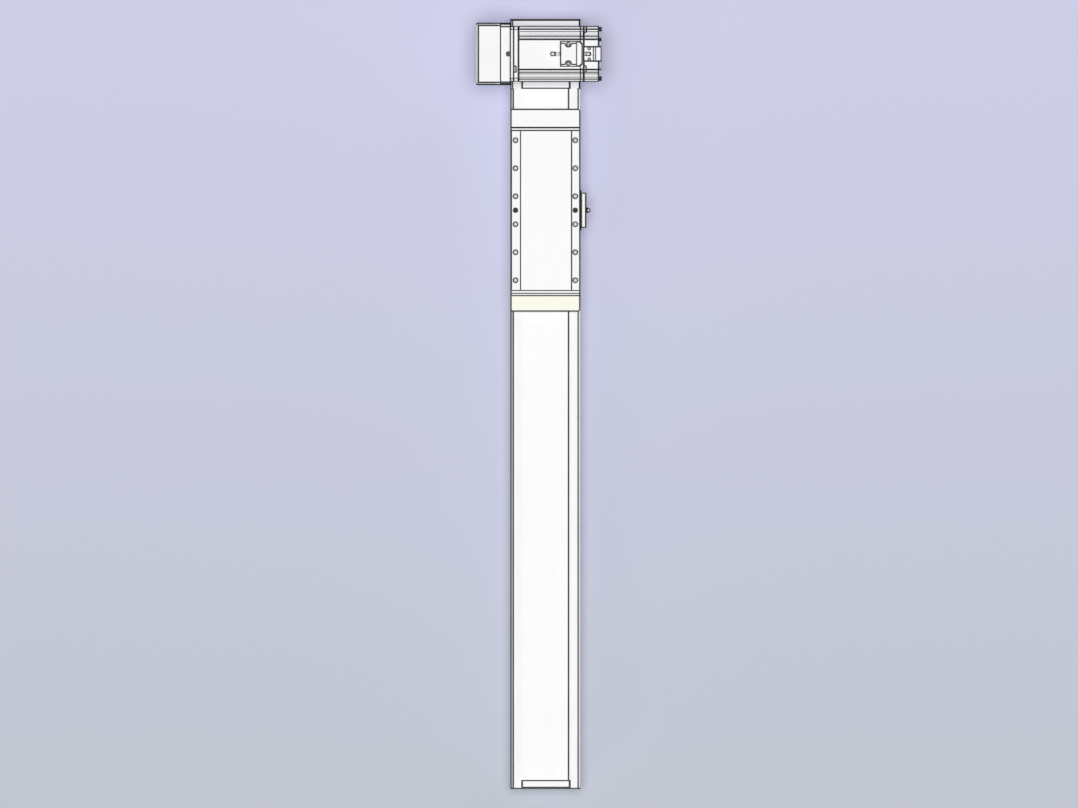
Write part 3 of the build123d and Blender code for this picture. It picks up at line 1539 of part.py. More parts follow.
with BuildPart() as guide_block_end_caps:
    for middle in block_middles:
        for front in (middle + block_length / 2 + block_cap_length, middle - block_length / 2):
            with BuildSketch(across(front)):
                with Locations((0, block_low + block_cap_inset)):
                    Rectangle(
                        block_width - 2 * block_cap_inset,
                        block_top - block_low - 2 * block_cap_inset,
                        align=(Align.CENTER, Align.MIN),
                    )
                chamfer(vertices(), block_cap_edge)
                with BuildLine():
                    Polyline(*rail_outline(slide_gap), close=True)
                make_face(mode=Mode.SUBTRACT)
            extrude(amount=block_cap_length)
guide_block_end_caps.part.label = "guide_block_end_caps"
export_step(guide_block_end_caps.part, "parts/guide_block_end_caps.step")

# Belt clamp plates, whose teeth hold the belt's ends against the underside of the neck

with BuildPart() as belt_clamp_plates:
    for side, middle in zip((-1, 1), clamp_middles):
        with BuildSketch(level(block_top)):
            with Locations((0, middle)):
                Rectangle(belt_clamp_width, belt_clamp_length)
            with Locations((0, carriage_place)):
                with Locations(*belt_clamp_spots):
                    Circle(belt_clamp_screw / 2 + pass_gap / 2, mode=Mode.SUBTRACT)
        extrude(amount=-belt_clamp_thickness)
        ridge_start = carriage_place + side * belt_clamp_middle_gap / 2
        ridge_stop = carriage_place + side * ridge_teeth * belt_pitch
        ridge_z = spindle_height + land_radius - turn_gap
        ridge = [(ridge_start, block_top), (ridge_start, ridge_z)]
        for index in range(ridge_teeth):
            place = (carriage_place + side * (index + 0.5) * belt_pitch, spindle_height + pitch_radius)
            notch = tooth_points(place, (0, -1), turn_gap, turn_gap)
            ridge += notch if side > 0 else notch[::-1]
        ridge += [(ridge_stop, ridge_z), (ridge_stop, block_top)]
        with BuildSketch(beside(0)):
            with BuildLine():
                Polyline(*ridge, close=True)
            make_face()
        extrude(amount=drive_belt_width / 2, both=True)
belt_clamp_plates.part.label = "belt_clamp_plates"
export_step(belt_clamp_plates.part, "parts/belt_clamp_plates.step")

# Cap screws that hold the table on its blocks and the clamp plates under the neck
clamp_face = Plane(
    origin=(0, carriage_place, block_top - belt_clamp_thickness), x_dir=(1, 0, 0), z_dir=(0, 0, -1)
)
with BuildPart() as carriage_cap_screws:
    add(
        socket_screws(
            level(block_screw_seat),
            block_screw_spots,
            block_screw,
            block_screw_seat - block_top + block_screw_grip - tip_gap,
        ).part
    )
    add(
        socket_screws(
            clamp_face, belt_clamp_spots, belt_clamp_screw, belt_clamp_thickness + belt_clamp_grip - tip_gap
        ).part
    )
carriage_cap_screws.part.label = "carriage_cap_screws"
export_step(carriage_cap_screws.part, "parts/carriage_cap_screws.step")

# Plates between the table and its end covers, each with a window for the strip
window_top = tunnel_floor + window_rise
wiper_low = body_height + wiper_gap
cover_low = body_height + end_gap


def end_frame(front, low, thickness):
    """Plate across the carriage's end, open below for the strip, with holes for the cover's screws."""
    with BuildPart() as frame:
        with BuildSketch(across(front)):
            with Locations((0, low)):
                Rectangle(body_width, table_height - low, align=(Align.CENTER, Align.MIN))
                Rectangle(
                    2 * tunnel_half, window_top - low, align=(Align.CENTER, Align.MIN), mode=Mode.SUBTRACT
                )
            chamfer(vertices().group_by(Axis.Y)[-1], table_chamfer)
            with Locations(*end_screw_spots):
                Circle(end_screw / 2 + pass_gap / 2, mode=Mode.SUBTRACT)
        extrude(amount=thickness)
    return frame.part


drive_adapter_end = carriage_place + table_end + adapter_thickness
drive_wiper_end = drive_adapter_end + wiper_drive_thickness
tail_adapter_end = carriage_place - table_end - adapter_thickness
tail_wiper_end = tail_adapter_end - wiper_tail_thickness
drive_cover_end = carriage_place + table_end + end_length
tail_cover_end = carriage_place - table_end - end_length

with BuildPart() as adapter_plates:
    add(end_frame(drive_adapter_end, table_low, adapter_thickness))
    add(end_frame(carriage_place - table_end, table_low, adapter_thickness))
adapter_plates.part.label = "adapter_plates"
export_step(adapter_plates.part, "parts/adapter_plates.step")

with BuildPart() as wiper_plates:
    add(end_frame(drive_wiper_end, wiper_low, wiper_drive_thickness))
    add(end_frame(tail_adapter_end, wiper_low, wiper_tail_thickness))
wiper_plates.part.label = "wiper_plates"
export_step(wiper_plates.part, "parts/wiper_plates.step")

# End covers, hollow below for the roller that presses the strip down, with the roller's pins
roller_z = recess_floor + strip_thickness + turn_gap + roller_diameter / 2
roller_half = tunnel_half - roller_end_gap
roller_pin_half = tunnel_half + roller_pin_grip


def end_cover(inner, outer):
    """Cover from its inner face to its outer face, which lies on the side away from the table."""
    side = 1 if outer > inner else -1
    with BuildPart() as cover:
        with BuildSketch(level(cover_low)):
            with Locations((0, (inner + outer) / 2)):
                Rectangle(body_width, abs(outer - inner))
            chamfer(vertices().sort_by(Axis.Y)[::-side][:2], end_corner)
        extrude(amount=table_height - cover_low)
        chamfer(faces().sort_by(Axis.Z)[-1].edges().filter_by(Axis.Y), table_chamfer)
        with BuildSketch(level(cover_low)):
            with Locations((0, (inner + outer - side * end_wall) / 2)):
                Rectangle(2 * tunnel_half, abs(outer - inner) - end_wall)
        extrude(amount=table_height - cover_low - end_wall, mode=Mode.SUBTRACT)
        with BuildSketch(across(outer)):
            with Locations(*end_screw_spots):
                Circle(end_screw_pocket)
        extrude(amount=side * end_screw_seat, mode=Mode.SUBTRACT)
        with BuildSketch(across(outer)):
            with Locations(*end_screw_spots):
                Circle(end_screw / 2 + pass_gap / 2)
        extrude(amount=side * abs(outer - inner), mode=Mode.SUBTRACT)
        with BuildSketch(beside(0, carriage_place + side * roller_reach, roller_z)):
            Circle(roller_pin / 2 + seat_gap)
        extrude(amount=roller_pin_half + seat_gap, both=True, mode=Mode.SUBTRACT)
    return cover


def press_roller(side):
    """Roller that turns on its pin just over the strip, at one end of the carriage."""
    with BuildPart() as roller:
        with BuildSketch(beside(0, carriage_place + side * roller_reach, roller_z)):
            Circle(roller_diameter / 2)
            Circle(roller_pin / 2 + turn_gap, mode=Mode.SUBTRACT)
        extrude(amount=roller_half, both=True)
    return roller


end_cover_drive = end_cover(drive_wiper_end, drive_cover_end)
end_cover_drive.part.label = "end_cover_drive"
export_step(end_cover_drive.part, "parts/end_cover_drive.step")

end_cover_tail = end_cover(tail_wiper_end, tail_cover_end)
end_cover_tail.part.label = "end_cover_tail"
export_step(end_cover_tail.part, "parts/end_cover_tail.step")

press_roller_drive = press_roller(1)
press_roller_drive.part.label = "press_roller_drive"
export_step(press_roller_drive.part, "parts/press_roller_drive.step")

press_roller_tail = press_roller(-1)
press_roller_tail.part.label = "press_roller_tail"
export_step(press_roller_tail.part, "parts/press_roller_tail.step")

with BuildPart() as roller_pins:
    for side in (-1, 1):
        with BuildSketch(beside(0, carriage_place + side * roller_reach, roller_z)):
            Circle(roller_pin / 2)
        extrude(amount=roller_pin_half, both=True)
roller_pins.part.label = "roller_pins"
export_step(roller_pins.part, "parts/roller_pins.step")

end_screw_length = end_length - end_screw_seat + end_screw_grip - 2 * tip_gap
end_screw_mirrored = [(-x, y) for x, y in end_screw_spots]
with BuildPart() as end_cover_screws:
    tail_seat = across(tail_cover_end + end_screw_seat)
    drive_seat = toward_drive(drive_cover_end - end_screw_seat)
    add(socket_screws(tail_seat, end_screw_spots, end_screw, end_screw_length).part)
    add(socket_screws(drive_seat, end_screw_mirrored, end_screw, end_screw_length).part)
end_cover_screws.part.label = "end_cover_screws"
export_step(end_cover_screws.part, "parts/end_cover_screws.step")

# Grease port on the right side: gasket, block, nipple and two screws
gasket_face = beside(half_body, carriage_place, port_centre_height)
port_back = beside(half_body + gasket_thickness, carriage_place, port_centre_height)
port_front = beside(port_face, carriage_place, port_centre_height)

with BuildPart() as grease_port_gasket:
    with BuildSketch(gasket_face):
        RectangleRounded(gasket_length, gasket_height, gasket_corner)
        with Locations(*port_screw_spots):
            Circle(end_screw / 2 + pass_gap / 2, mode=Mode.SUBTRACT)
    extrude(amount=gasket_thickness)
grease_port_gasket.part.label = "grease_port_gasket"
export_step(grease_port_gasket.part, "parts/grease_port_gasket.step")

with BuildPart() as grease_port_block:
    with BuildSketch(port_back):
        Rectangle(port_length, port_height)
    extrude(amount=port_thickness)
    chamfer(faces().sort_by(Axis.X)[-1].edges(), table_chamfer)
    with Locations(port_front):
        with Locations(*[(x, y, 0) for x, y in port_screw_spots]):
            CounterSinkHole(end_screw / 2, flat_head * end_screw, port_thickness, flat_head_angle)
    with BuildSketch(port_front):
        Circle(nipple_seat + seat_gap)
    extrude(amount=-nipple_reach - seat_gap, mode=Mode.SUBTRACT)
grease_port_block.part.label = "grease_port_block"
export_step(grease_port_block.part, "parts/grease_port_block.step")

nipple_head = nipple_diameter / 2
with BuildPart() as grease_nipple:
    nipple_plane = Plane(
        origin=(port_face, carriage_place, port_centre_height), x_dir=(1, 0, 0), z_dir=(0, -1, 0)
    )
    with BuildSketch(nipple_plane):
        with BuildLine():
            Polyline(
                (-nipple_reach, 0),
                (-nipple_reach, nipple_seat),
                (0, nipple_seat),
                (0, nipple_head),
                (0.50 * nipple_length, nipple_head),
                (0.55 * nipple_length, nipple_neck * nipple_head),
                (0.70 * nipple_length, nipple_neck * nipple_head),
                (0.80 * nipple_length, nipple_ball * nipple_head),
                (0.90 * nipple_length, nipple_ball * nipple_head),
                (nipple_length, nipple_mouth * nipple_head),
                (nipple_length, 0),
                close=True,
            )
        make_face()
    revolve(axis=Axis((0, carriage_place, port_centre_height), (1, 0, 0)))
grease_nipple.part.label = "grease_nipple"
export_step(grease_nipple.part, "parts/grease_nipple.step")

port_screws = flat_screws(port_front, port_screw_spots, end_screw, port_screw_length)
port_screws.part.label = "grease_port_screws"
export_step(port_screws.part, "parts/grease_port_screws.step")
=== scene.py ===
import math

import bpy
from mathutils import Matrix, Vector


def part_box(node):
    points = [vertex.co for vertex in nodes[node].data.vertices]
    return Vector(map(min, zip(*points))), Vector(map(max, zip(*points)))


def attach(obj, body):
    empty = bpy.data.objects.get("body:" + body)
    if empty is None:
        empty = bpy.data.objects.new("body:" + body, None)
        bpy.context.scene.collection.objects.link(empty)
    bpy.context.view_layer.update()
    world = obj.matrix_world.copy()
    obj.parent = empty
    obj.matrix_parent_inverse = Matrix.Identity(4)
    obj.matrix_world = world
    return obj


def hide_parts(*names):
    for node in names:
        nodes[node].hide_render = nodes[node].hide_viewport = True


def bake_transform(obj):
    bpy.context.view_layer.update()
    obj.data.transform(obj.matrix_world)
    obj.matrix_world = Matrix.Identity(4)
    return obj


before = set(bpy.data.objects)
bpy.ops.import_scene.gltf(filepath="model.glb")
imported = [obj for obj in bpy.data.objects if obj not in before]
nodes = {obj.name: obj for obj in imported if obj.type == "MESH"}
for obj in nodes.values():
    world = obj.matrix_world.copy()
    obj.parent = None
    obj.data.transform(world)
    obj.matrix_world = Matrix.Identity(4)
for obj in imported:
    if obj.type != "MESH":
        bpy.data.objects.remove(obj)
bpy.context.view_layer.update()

MM = 0.001
X, Y, Z = 0, 1, 2

# Camera: straight down on the actuator, with the drive end at the top of the picture
PICTURE_WIDTH = 1078
PICTURE_HEIGHT = 808
PIXEL = 15 / 14 * MM
PICTURE_MIDDLE = (-6.86 * MM, 37.4 * MM)  # its place on the object
CAMERA_HEIGHT = 2.0
SEEN_DEPTH = 10.0
camera_data = bpy.data.cameras.new("camera")
camera_data.type = "ORTHO"
camera_data.ortho_scale = PICTURE_WIDTH * PIXEL
camera_data.clip_end = SEEN_DEPTH
camera = bpy.data.objects.new("camera", camera_data)
camera.location = (*PICTURE_MIDDLE, CAMERA_HEIGHT)
bpy.context.scene.collection.objects.link(camera)
bpy.context.scene.camera = camera
bpy.context.scene.view_settings.view_transform = "Standard"


def linear(value):
    """A colour of 0 to 255, as it looks, in the units of a shader."""
    share = value / 255
    return share / 12.92 if share <= 0.04045 else ((share + 0.055) / 1.055) ** 2.4


def colour(*values):
    """An opaque colour from its red, green and blue of 0 to 255."""
    return tuple(linear(value) for value in values) + (1.0,)


WHITE = colour(251, 251, 252)
INK = colour(1, 1, 2)
EDGE_RADIUS = 2.0 * MM
BEVEL_SAMPLES = 8
FLAT = 0.9998  # cosine of the rounded normal's turn where the dark line of an edge starts
TURNED = 0.996  # and where it is full
LEAST_RISE = 0.15  # upward share of the normal of a face that carries drawn lines
NOISE_LOW = 0.3  # nearly all of a noise lies between this and the next value
NOISE_HIGH = 0.7
FINE_DETAIL = 3.0
BROAD_DETAIL = 4.0
BROAD_SCALE = 18.0
GLOSS = 0.3
RELIEF_DEPTH = 0.1 * MM
EVEN = (1, 1, 1)
ALONG_X = (0.02, 1, 1)
ALONG_Y = (1, 0.02, 1)


class Nodes:
    """Short calls for the nodes of one material."""

    def __init__(self, name):
        self.material = bpy.data.materials.new(name)
        self.material.use_nodes = True
        self.tree = self.material.node_tree
        self.tree.nodes.clear()

    def add(self, kind, **settings):
        node = self.tree.nodes.new(kind)
        for key, value in settings.items():
            setattr(node, key, value)
        return node

    def join(self, out, into):
        self.tree.links.new(out, into)

    def put(self, node, name, value):
        node.inputs[name].default_value = value

    def calc(self, kind, operation, *values):
        """The result of a math node whose inputs are numbers or other nodes' results."""
        node = self.add(kind, operation=operation)
        for value, socket in zip(values, node.inputs):
            if isinstance(value, bpy.types.NodeSocket):
                self.join(value, socket)
            else:
                socket.default_value = value
        return node.outputs[0]

    def maths(self, operation, *values):
        return self.calc("ShaderNodeMath", operation, *values)

    def vector(self, operation, *values):
        return self.calc("ShaderNodeVectorMath", operation, *values)

    def parts(self, vector):
        node = self.add("ShaderNodeSeparateXYZ")
        self.join(vector, node.inputs["Vector"])
        return node.outputs

    def place(self):
        """The object's own coordinates."""
        return self.add("ShaderNodeTexCoord").outputs["Object"]

    def finish(self, shader):
        """Makes a shader the material's surface, and returns the material."""
        output = self.add("ShaderNodeOutputMaterial")
        self.join(shader.outputs["BSDF"], output.inputs["Surface"])
        return self.material


def noise(m, place, scale, stretch, detail):
    """Noise over the object's own coordinates, stretched along one of its axes."""
    mapping = m.add("ShaderNodeMapping")
    m.put(mapping, "Scale", stretch)
    m.join(place, mapping.inputs["Vector"])
    texture = m.add("ShaderNodeTexNoise")
    m.put(texture, "Scale", scale)
    m.put(texture, "Detail", detail)
    m.join(mapping.outputs["Vector"], texture.inputs["Vector"])
    return texture.outputs["Fac"]


def spread(m, value, low, high, start=NOISE_LOW, stop=NOISE_HIGH):
    """A value that runs from low to high while another one runs from start to stop."""
    node = m.add("ShaderNodeMapRange")
    m.put(node, "From Min", start)
    m.put(node, "From Max", stop)
    m.put(node, "To Min", low)
    m.put(node, "To Max", high)
    m.join(value, node.inputs["Value"])
    return node.outputs["Result"]


def mixed(m, factor, a, b, blend="MIX"):
    """Colour a turned into colour b by a factor; each is a colour or another node's result."""
    node = m.add("ShaderNodeMix", data_type="RGBA", blend_type=blend)
    for value, socket in ((factor, "Factor"), (a, "A"), (b, "B")):
        if isinstance(value, bpy.types.NodeSocket):
            m.join(value, node.inputs[socket])
        else:
            m.put(node, socket, value)
    return node.outputs["Result"]


def edge_share(m, radius):
    """1 close to a sharp edge, and 0 on open faces."""
    bevel = m.add("ShaderNodeBevel", samples=BEVEL_SAMPLES)
    m.put(bevel, "Radius", radius)
    geometry = m.add("ShaderNodeNewGeometry")
    product = m.vector("DOT_PRODUCT", bevel.outputs["Normal"], geometry.outputs["Normal"])
    return spread(m, product.node.outputs["Value"], 0.0, 1.0, FLAT, TURNED)


def within(m, place, box):
    """1 inside a box of the object's own coordinates, in millimetres, and 0 outside."""
    low, high = box
    centre = [(a + b) / 2 * MM for a, b in zip(low, high)]
    half = [(b - a) / 2 * MM for a, b in zip(low, high)]
    away = m.vector("ABSOLUTE", m.vector("SUBTRACT", place, centre))
    share = m.parts(m.vector("DIVIDE", away, half))
    largest = m.maths("MAXIMUM", m.maths("MAXIMUM", share[X], share[Y]), share[Z])
    return m.maths("LESS_THAN", largest, 1.0)


def from_axes(m, place, ring):
    """Distance to upright axes on both sides of the middle, with one every pitch along Y."""
    parts = m.parts(place)
    half_pitch = ring["pitch"] / 2 * MM
    across = m.maths("SUBTRACT", m.maths("ABSOLUTE", parts[X]), ring["x"] * MM)
    along = m.maths("WRAP", m.maths("SUBTRACT", parts[Y], ring["y"] * MM), half_pitch, -half_pitch)
    squares = m.maths("ADD", m.maths("POWER", across, 2.0), m.maths("POWER", along, 2.0))
    return m.maths("SQRT", squares)


def ink_share(m, place, edge, lines, bare, rings):
    """Where the dark lines lie: in line boxes and, outside bare boxes, in rings and along sharp edges."""
    share = edge_share(m, edge) if edge else 0.0
    for ring in rings:
        away = from_axes(m, place, ring)
        share = m.maths("MULTIPLY", share, m.maths("GREATER_THAN", away, ring["clear"] * MM))
        beyond = m.maths("GREATER_THAN", away, ring["inner"] * MM)
        before = m.maths("LESS_THAN", away, ring["outer"] * MM)
        share = m.maths("MAXIMUM", share, m.maths("MULTIPLY", beyond, before))
    for box in bare:
        share = m.maths("MULTIPLY", share, m.maths("SUBTRACT", 1.0, within(m, place, box)))
    rise = m.parts(m.add("ShaderNodeTexCoord").outputs["Normal"])[Z]
    upward = m.maths("GREATER_THAN", rise, LEAST_RISE)
    for box in lines:
        share = m.maths("MAXIMUM", share, m.maths("MULTIPLY", upward, within(m, place, box)))
    return share


def shaded(m, place, tone, painted_shade):
    """A colour with a painted shade that is full at its dark place along Y, and gone at its clear one."""
    along = m.parts(place)[Y]
    share = spread(m, along, 1.0, 0.0, painted_shade["dark"] * MM, painted_shade["clear"] * MM)
    side = m.maths("LESS_THAN", along, painted_shade["dark"] * MM)
    return mixed(m, m.maths("MULTIPLY", share, side), tone, painted_shade["tint"])


def surface(
    name,
    base,
    rough=(0.4, 0.5),
    metallic=0.0,
    grain=900.0,
    stretch=EVEN,
    shade=(0.97, 1.0),
    bump=0.02,
    edge=EDGE_RADIUS,
    lines=(),
    bare=(),
    rings=(),
    painted_shade=None,
):
    """A surface with grain, small changes of shade and gloss, and fine dark lines along its edges."""
    m = Nodes(name)
    place = m.place()
    fine = noise(m, place, grain, stretch, FINE_DETAIL)
    broad = noise(m, place, BROAD_SCALE, EVEN, BROAD_DETAIL)
    shader = m.add("ShaderNodeBsdfPrincipled")
    m.put(shader, "Metallic", metallic)
    m.put(shader, "Specular IOR Level", GLOSS)
    tone = mixed(m, 1.0, base, spread(m, broad, *shade), "MULTIPLY")
    # painted shade of a concave face, mixed into the colour when one is given
    if painted_shade:
        tone = shaded(m, place, tone, painted_shade)
    if edge or lines or rings:
        tone = mixed(m, ink_share(m, place, edge, lines, bare, rings), tone, INK)
    m.join(tone, shader.inputs["Base Color"])
    m.join(spread(m, fine, *rough), shader.inputs["Roughness"])
    relief = m.add("ShaderNodeBump")
    m.put(relief, "Strength", bump)
    m.put(relief, "Distance", RELIEF_DEPTH)
    m.join(fine, relief.inputs["Height"])
    m.join(relief.outputs["Normal"], shader.inputs["Normal"])
    return m.finish(shader)


# Line boxes: each is a lowest and a highest corner, in millimetres of the object's own coordinates.
# How far in from a node's side a line lies, and how wide it is, follow the picture's own lines.
FAR = 1000.0  # past the object
OUT = -0.5  # start of a line that covers a node's very edge
# Each side has its axis, which end of the node it is, and the sign of inwards
SIDES = {"left": (X, 0, 1), "right": (X, 1, -1), "tail": (Y, 0, 1), "drive": (Y, 1, -1)}


def slab(axis, low, high, above=-FAR):
    """A box between two places along one axis and above a height, and without an end elsewhere."""
    lows, highs = [-FAR, -FAR, above], [FAR, FAR, FAR]
    lows[axis], highs[axis] = low, high
    return lows, highs


def span(node, axis):
    """A node's lowest and highest place along one axis, in millimetres."""
    return [corner[axis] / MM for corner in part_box(node)]


def band(node, side, start, stop, above=-FAR):
    """A box along one side of a node, between two distances inwards from it."""
    axis, end, inward = SIDES[side]
    edge = span(node, axis)[end]
    low, high = sorted((edge + inward * start, edge + inward * stop))
    return slab(axis, low, high, above)


def bands(node, rows, above=-FAR):
    """Boxes along a node's sides; each row is a side and two distances inwards from it."""
    return [band(node, side, start, stop, above) for side, start, stop in rows]


def overlap(*boxes):
    """The box that all the given ones share."""
    lows = [max(places) for places in zip(*(low for low, high in boxes))]
    highs = [min(places) for places in zip(*(high for low, high in boxes))]
    return lows, highs


# Heights above which lines are drawn on the body, on the side box and on the motor
BODY_FACE = 55.0
BOX_FACE = 127.0
MOTOR_FACE = 100.0
sides = bands("base_extrusion", [("left", OUT, 1.4), ("right", OUT, 1.4)], BODY_FACE)

# Strip and its clamps, and the line that runs beside each clamp on the body or the housing
CLAMP_REACH = 8.6
strip_lines = bands("dust_strip", [("right", OUT, 0.65)])
clamp_lines = bands("strip_clamps", [("left", OUT, 2.0), ("right", OUT, 0.8), ("tail", OUT, 1.4)])
clamp_lines += bands("strip_clamps", [("tail", 7.2, 8.8), ("drive", 7.2, 8.8)])
beside_clamps = band("strip_clamps", "right", -1.3, 0.4, BODY_FACE)
beside_tail_clamp = overlap(beside_clamps, band("strip_clamps", "tail", 0, CLAMP_REACH))
beside_drive_clamp = overlap(beside_clamps, band("strip_clamps", "drive", 0, CLAMP_REACH))

# Body: its sides with their second lines, its tail end, and the slot's right edge beside the strip
body_rows = [("left", OUT, 1.4), ("left", 2.2, 3.9), ("right", 1.8, 3.0), ("tail", OUT, 1.3)]
body_lines = bands("base_extrusion", body_rows, BODY_FACE)
body_lines += [band("dust_strip", "right", -1.15, -0.15, BODY_FACE), beside_tail_clamp]

# Drive housing: its sides and its far end
housing_rows = [("left", OUT, 1.0), ("left", 2.0, 3.1), ("right", OUT, 1.4), ("drive", OUT, 2.3)]
housing_lines = bands("drive_housing", housing_rows, BODY_FACE) + [beside_drive_clamp]

# Faces of the body and the housing under the strip and its clamps, which show no edge
body_bare = [((-33, -372, 58), (33, 376, 61))]
housing_bare = [((-34, 374, 59), (34, 379, 61))]

# Carriage: the table's tapped holes as rings, and its dowel holes as dark discs. They run along Y
# from y with a pitch, are dark from inner to outer, and show no edge line nearer than clear.
HOLE_ROW = 32
LOAD_PITCH = 30
carriage_middle = sum(span("carriage_table", Y)) / 2
first_hole = carriage_middle + LOAD_PITCH / 2
load_holes = dict(x=HOLE_ROW, y=first_hole, pitch=LOAD_PITCH, clear=3.6, inner=1.9, outer=3.15)
dowel_holes = dict(x=HOLE_ROW, y=carriage_middle, pitch=2 * FAR, clear=0, inner=-1, outer=2.7)

# Carriage: the table's sides and ends, and its rim round the cover plate.
# The left side's line is drawn above the first height, and the rim's above the second.
TABLE_FACE = 70.0
TABLE_RIM = 71.7
tail_end = band("carriage_table", "tail", -0.35, 0.85)
table_ends = [tail_end, band("carriage_table", "drive", OUT, 1.55)]
table_lines = table_ends + [
    band("carriage_table", "left", OUT, 1.8, TABLE_FACE),
    band("carriage_table", "right", OUT, 1.4, BODY_FACE),
    band("carriage_table", "right", 8.7, 10.5, TABLE_RIM),
]
table_bare = [
    ((-35, -FAR, 64.1), (35, FAR, 71.9)),
    band("carriage_table", "left", 8.7, 10.5, TABLE_RIM),
    band("carriage_table", "tail", OUT, 3.25),
]

# Carriage: its cover plate, and the plates and covers at its ends
plate_lines = table_ends + bands("carriage_cover_plate", [("left", 0.76, 2.26)])
plate_bare_rows = [("left", OUT, 2.26), ("right", OUT, 2.26), ("tail", OUT, 3.25)]
plate_bare = bands("carriage_cover_plate", plate_bare_rows)
adapter_lines = sides + [tail_end, band("adapter_plates", "drive", OUT, 0.75)]
wiper_lines = sides + bands("wiper_plates", [("tail", 0.85, 1.95), ("drive", OUT, 1.45)])
drive_cover_lines = sides + bands("end_cover_drive", [("drive", OUT, 1.55)])
drive_cover_bare = bands("end_cover_drive", [("tail", OUT, 2.55)])
tail_cover_lines = sides + bands("end_cover_tail", [("drive", 0.35, 1.75), ("tail", OUT, 1.55)])
tail_cover_bare = bands("end_cover_tail", [("drive", OUT, 2.55)])

# Grease port on the carriage's right side
port_lines = bands("grease_port_block", [("right", OUT, 1.7), ("tail", OUT, 1.4), ("drive", OUT, 1.4)])
nipple_rows = [("right", OUT, 1.3), ("right", 2.9, 4.5), ("tail", OUT, 2.05), ("drive", OUT, 2.05)]
nipple_lines = bands("grease_nipple", nipple_rows)

# Side box: its cover's ends, and a rectangle just inside its edge that is open to the right
box_lines = bands("transfer_cover", [("tail", OUT, 1.4), ("drive", OUT, 1.4)])
box_inside = overlap(*bands("transfer_cover", [("left", 2.0, FAR), ("tail", 2.2, FAR), ("drive", 2.2, FAR)]))
box_rows = [("left", 2.0, 3.7), ("tail", 2.2, 3.9), ("drive", 2.2, 3.9)]
box_lines += [overlap(line, box_inside) for line in bands("transfer_cover", box_rows, BOX_FACE)]
box_bare = bands("transfer_cover", [("right", OUT, 3.2)], BOX_FACE)

# Side box: its base plate's ends and left edge, and short lines in from that edge
base_lines = bands("transfer_base_plate", [("tail", OUT, 2.2), ("drive", OUT, 2.2)])
base_lines += bands("transfer_base_plate", [("left", OUT, 1.4)], BOX_FACE)
base_inside = band("transfer_base_plate", "left", OUT, 12)
base_rows = [("tail", 2.4, 4.1), ("drive", 3.4, 5.1)]
base_lines += [overlap(line, base_inside) for line in bands("transfer_base_plate", base_rows, BOX_FACE)]

# Motor: the lines of its ribs run over the housing and the cap
rib_rows = [
    ("drive", OUT, 1.1), ("drive", 3.1, 4.4), ("drive", 5.7, 6.5),
    ("drive", 10.9, 11.7), ("drive", 13.7, 15.4),
    ("tail", OUT, 1.0), ("tail", 2.4, 3.7), ("tail", 4.7, 5.5), ("tail", 12.4, 14.1),
]
rib_lines = bands("motor_housing", rib_rows, MOTOR_FACE)
motor_lines = rib_lines + bands("motor_rear_bracket", [("right", OUT, 1.1)], MOTOR_FACE)
motor_tail = span("motor_housing", Y)[0]
# Painted shade: the shading of the concave face between the motor's ribs on its tail side, a cream-grey tint
# that is full at dark and gone at clear along Y
rib_hollow_painted_shade = dict(dark=motor_tail + 10.9, clear=motor_tail + 6.9, tint=colour(120, 118, 104))

# Motor: its flange and its cap, each with short lines between the ribs
flange_rows = [("tail", OUT, 1.0), ("drive", OUT, 1.1), ("right", OUT, 1.5), ("right", 4.8, 6.5)]
flange_lines = bands("motor_flange", flange_rows, MOTOR_FACE) + [
    overlap(band("motor_flange", "right", 2.9, 3.9, MOTOR_FACE), band("motor_housing", "tail", 10.7, 16.5)),
]
cap_lines = rib_lines + [
    band("encoder_cap", "left", OUT, 1.1, MOTOR_FACE),
    band("encoder_cap", "right", 2.1, 3.9),
    overlap(band("encoder_cap", "right", OUT, 2.6), band("motor_housing", "drive", 11.3, 16.7)),
    overlap(band("encoder_cap", "left", 2.7, 3.7, MOTOR_FACE), band("motor_housing", "drive", 1.3, 7.2)),
    overlap(band("encoder_cap", "left", 2.3, 3.3, MOTOR_FACE), band("motor_housing", "tail", 10.5, 16.7)),
]

# Connectors on the motor
power_inside = band("power_connector", "right", 2.6, FAR)
power_ends = bands("power_connector", [("tail", OUT, 1.1), ("drive", OUT, 1.1)])
power_lines = bands("power_connector", [("left", OUT, 1.5)])
power_lines += [overlap(line, power_inside) for line in power_ends]
plug_lines = bands("encoder_connector", [("tail", OUT, 1.75), ("drive", OUT, 1.75), ("right", OUT, 1.2)])

# Jack screw beside each connector: its ends, and two lines along its shank
jack_middle = sum(span("connector_screws", Y)) / 2
jack_end_rows = [("left", OUT, 1.4), ("left", 4.6, 6.2), ("right", OUT, 2.1)]
jack_across = slab(Y, jack_middle - 3.7, jack_middle + 3.7)
jack_lines = [overlap(line, jack_across) for line in bands("connector_screws", jack_end_rows)]
jack_edges = [slab(Y, jack_middle - 3.1, jack_middle - 1.3), slab(Y, jack_middle + 1.3, jack_middle + 3.1)]
for shank in bands("connector_screws", [("left", OUT, 6.2), ("right", 1.7, 7.6)]):
    jack_lines += [overlap(shank, edge) for edge in jack_edges]

# Finishes that several surfaces share
SATIN = (0.42, 0.54)
MILLED = dict(rough=SATIN, grain=1100, shade=(0.975, 1.0))
MOULDED = dict(rough=SATIN, grain=1300, bump=0.05)
CAST = dict(rough=(0.45, 0.58), grain=500, bump=0.08)
CONNECTOR = dict(rough=(0.42, 0.55), grain=1500, bump=0.05, edge=1.4 * MM)
DULL = dict(rough=(0.6, 0.75), grain=1500, edge=0.0)

